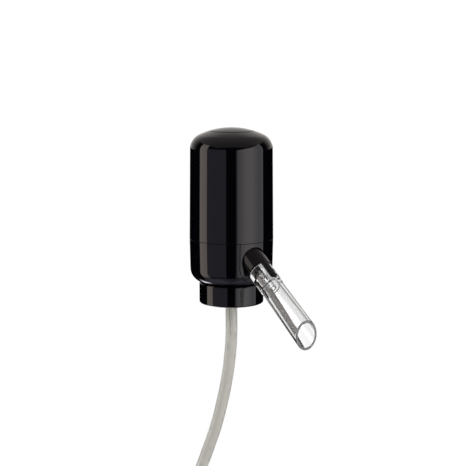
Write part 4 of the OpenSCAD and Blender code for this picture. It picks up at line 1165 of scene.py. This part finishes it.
# %% Paint the light boxes
WARM, COOL, BLUISH = rgb(1, 0.88, 0.8), rgb(0.97, 0.96, 1.03), rgb(0.85, 0.83, 1.05)
CEILING, BACKDROP, FLAG = rgb(1, 0.92, 0.88), rgb(1, 0.98, 0.95), rgb(1, 0.86, 0.8)
wall_foot = rise.ramp(-50, -24)
strip_top = 1 - rise.ramp(31, 37)
panel_top = 1 - (rise - 0.25 * turn).ramp(8, 14)
flank = rise - 14 * side.ramp(15, 70)
ceiling_foot = wire.math("MAXIMUM", flank.ramp(17, 22), side.ramp(108, 140))
ceiling = over.ramp(33, 37) * 0.25 + over.ramp(50, 90) * 0.11
backdrop = over.ramp(124, 144) * 0.28 + over.ramp(144, 170) * 0.15
boxes = [
    # A warm strip and a dim panel at the left
    (turn.band(-97, -70.8, 0.7) * wall_foot * strip_top * 1.9, WARM),
    (turn.band(-69.5, -14.5, 1.0) * wall_foot * (1 - rise.ramp(8, 24)) * 0.36, BLUISH),
    # A brighter panel at the right, with a warm middle
    (turn.ramp(10.5, 20) * (1 - turn.ramp(96.5, 98)) * wall_foot * panel_top, COOL),
    (turn.ramp(14, 46) * (1 - turn.ramp(54, 86)) * wall_foot * panel_top * 0.8, WARM),
    # The ceiling, the backdrop behind and the ground
    (ceiling * ceiling_foot, CEILING),
    (backdrop * side.ramp(120, 165), BACKDROP),
    ((1 - rise.ramp(-52, -40)) * (0.3 + 0.25 * side.band(30, 100, 15)), BLUISH),
    # A low lamp behind, which draws the crescent on the foot
    (turn.band(-170, -141, 7) * rise.band(-53, -38, 5) * 4.5, COOL),
]
lit = None
for strength, colour in boxes:
    box_light = wire.node("Emission", {"Color": colour, "Strength": strength})
    lit = wire.node("AddShader", {0: lit, 1: box_light}) if lit else box_light
beyond = wire.math("ARCTAN2", -1 * aside, -1 * ahead) * DEGREES
flag = beyond.band(0.4, 32, 0.6)
seen = 1 - 0.96 * flag - 0.06 * beyond.band(15, 32, 2) - 0.14 * beyond.band(-20, -4, 4)
seen = seen - 0.8 * beyond.band(-45, -25, 1.5)
bright = wire.node("Emission", {"Color": flag.mix(WHITE, FLAG), "Strength": seen})
through = wire.node("LightPath", output="Is Transmission Ray")
surface(wire.tree, wire.node("MixShader", {0: through, 1: lit, 2: bright}))
tent.data.materials.append(cloth)
print("light boxes:", len(boxes))

# %% [markdown]
# ## Lamps
# Two large area lamps light what is not black: the hose, the clear spout and the parts inside.
# They do not mirror in the gloss, because the tent already draws the light boxes there.

# %% Hang the lamps
def lamp(name, turn, rise, away, size, power):
    """An area lamp that looks at the middle of the body from so many degrees round and up."""
    light = bpy.data.lights.new(name, "AREA")
    light.shape = "SQUARE"
    light.size = size
    light.energy = power
    holder = bpy.data.objects.new(name, light)
    turn, rise = math.radians(turn), math.radians(rise)
    side = to_camera * math.cos(turn) + to_right * math.sin(turn)
    holder.location = away * (side * math.cos(rise) + Vector((0, 0, math.sin(rise))))
    holder.rotation_euler = (-holder.location).to_track_quat("-Z", "Y").to_euler()
    holder.visible_glossy = False
    scene.collection.objects.link(holder)


lamp("key_lamp", -60, 40, 1.2, 0.7, 9)
lamp("fill_lamp", 70, 25, 1.3, 0.8, 6)
print("lamps:", len(bpy.data.lights))
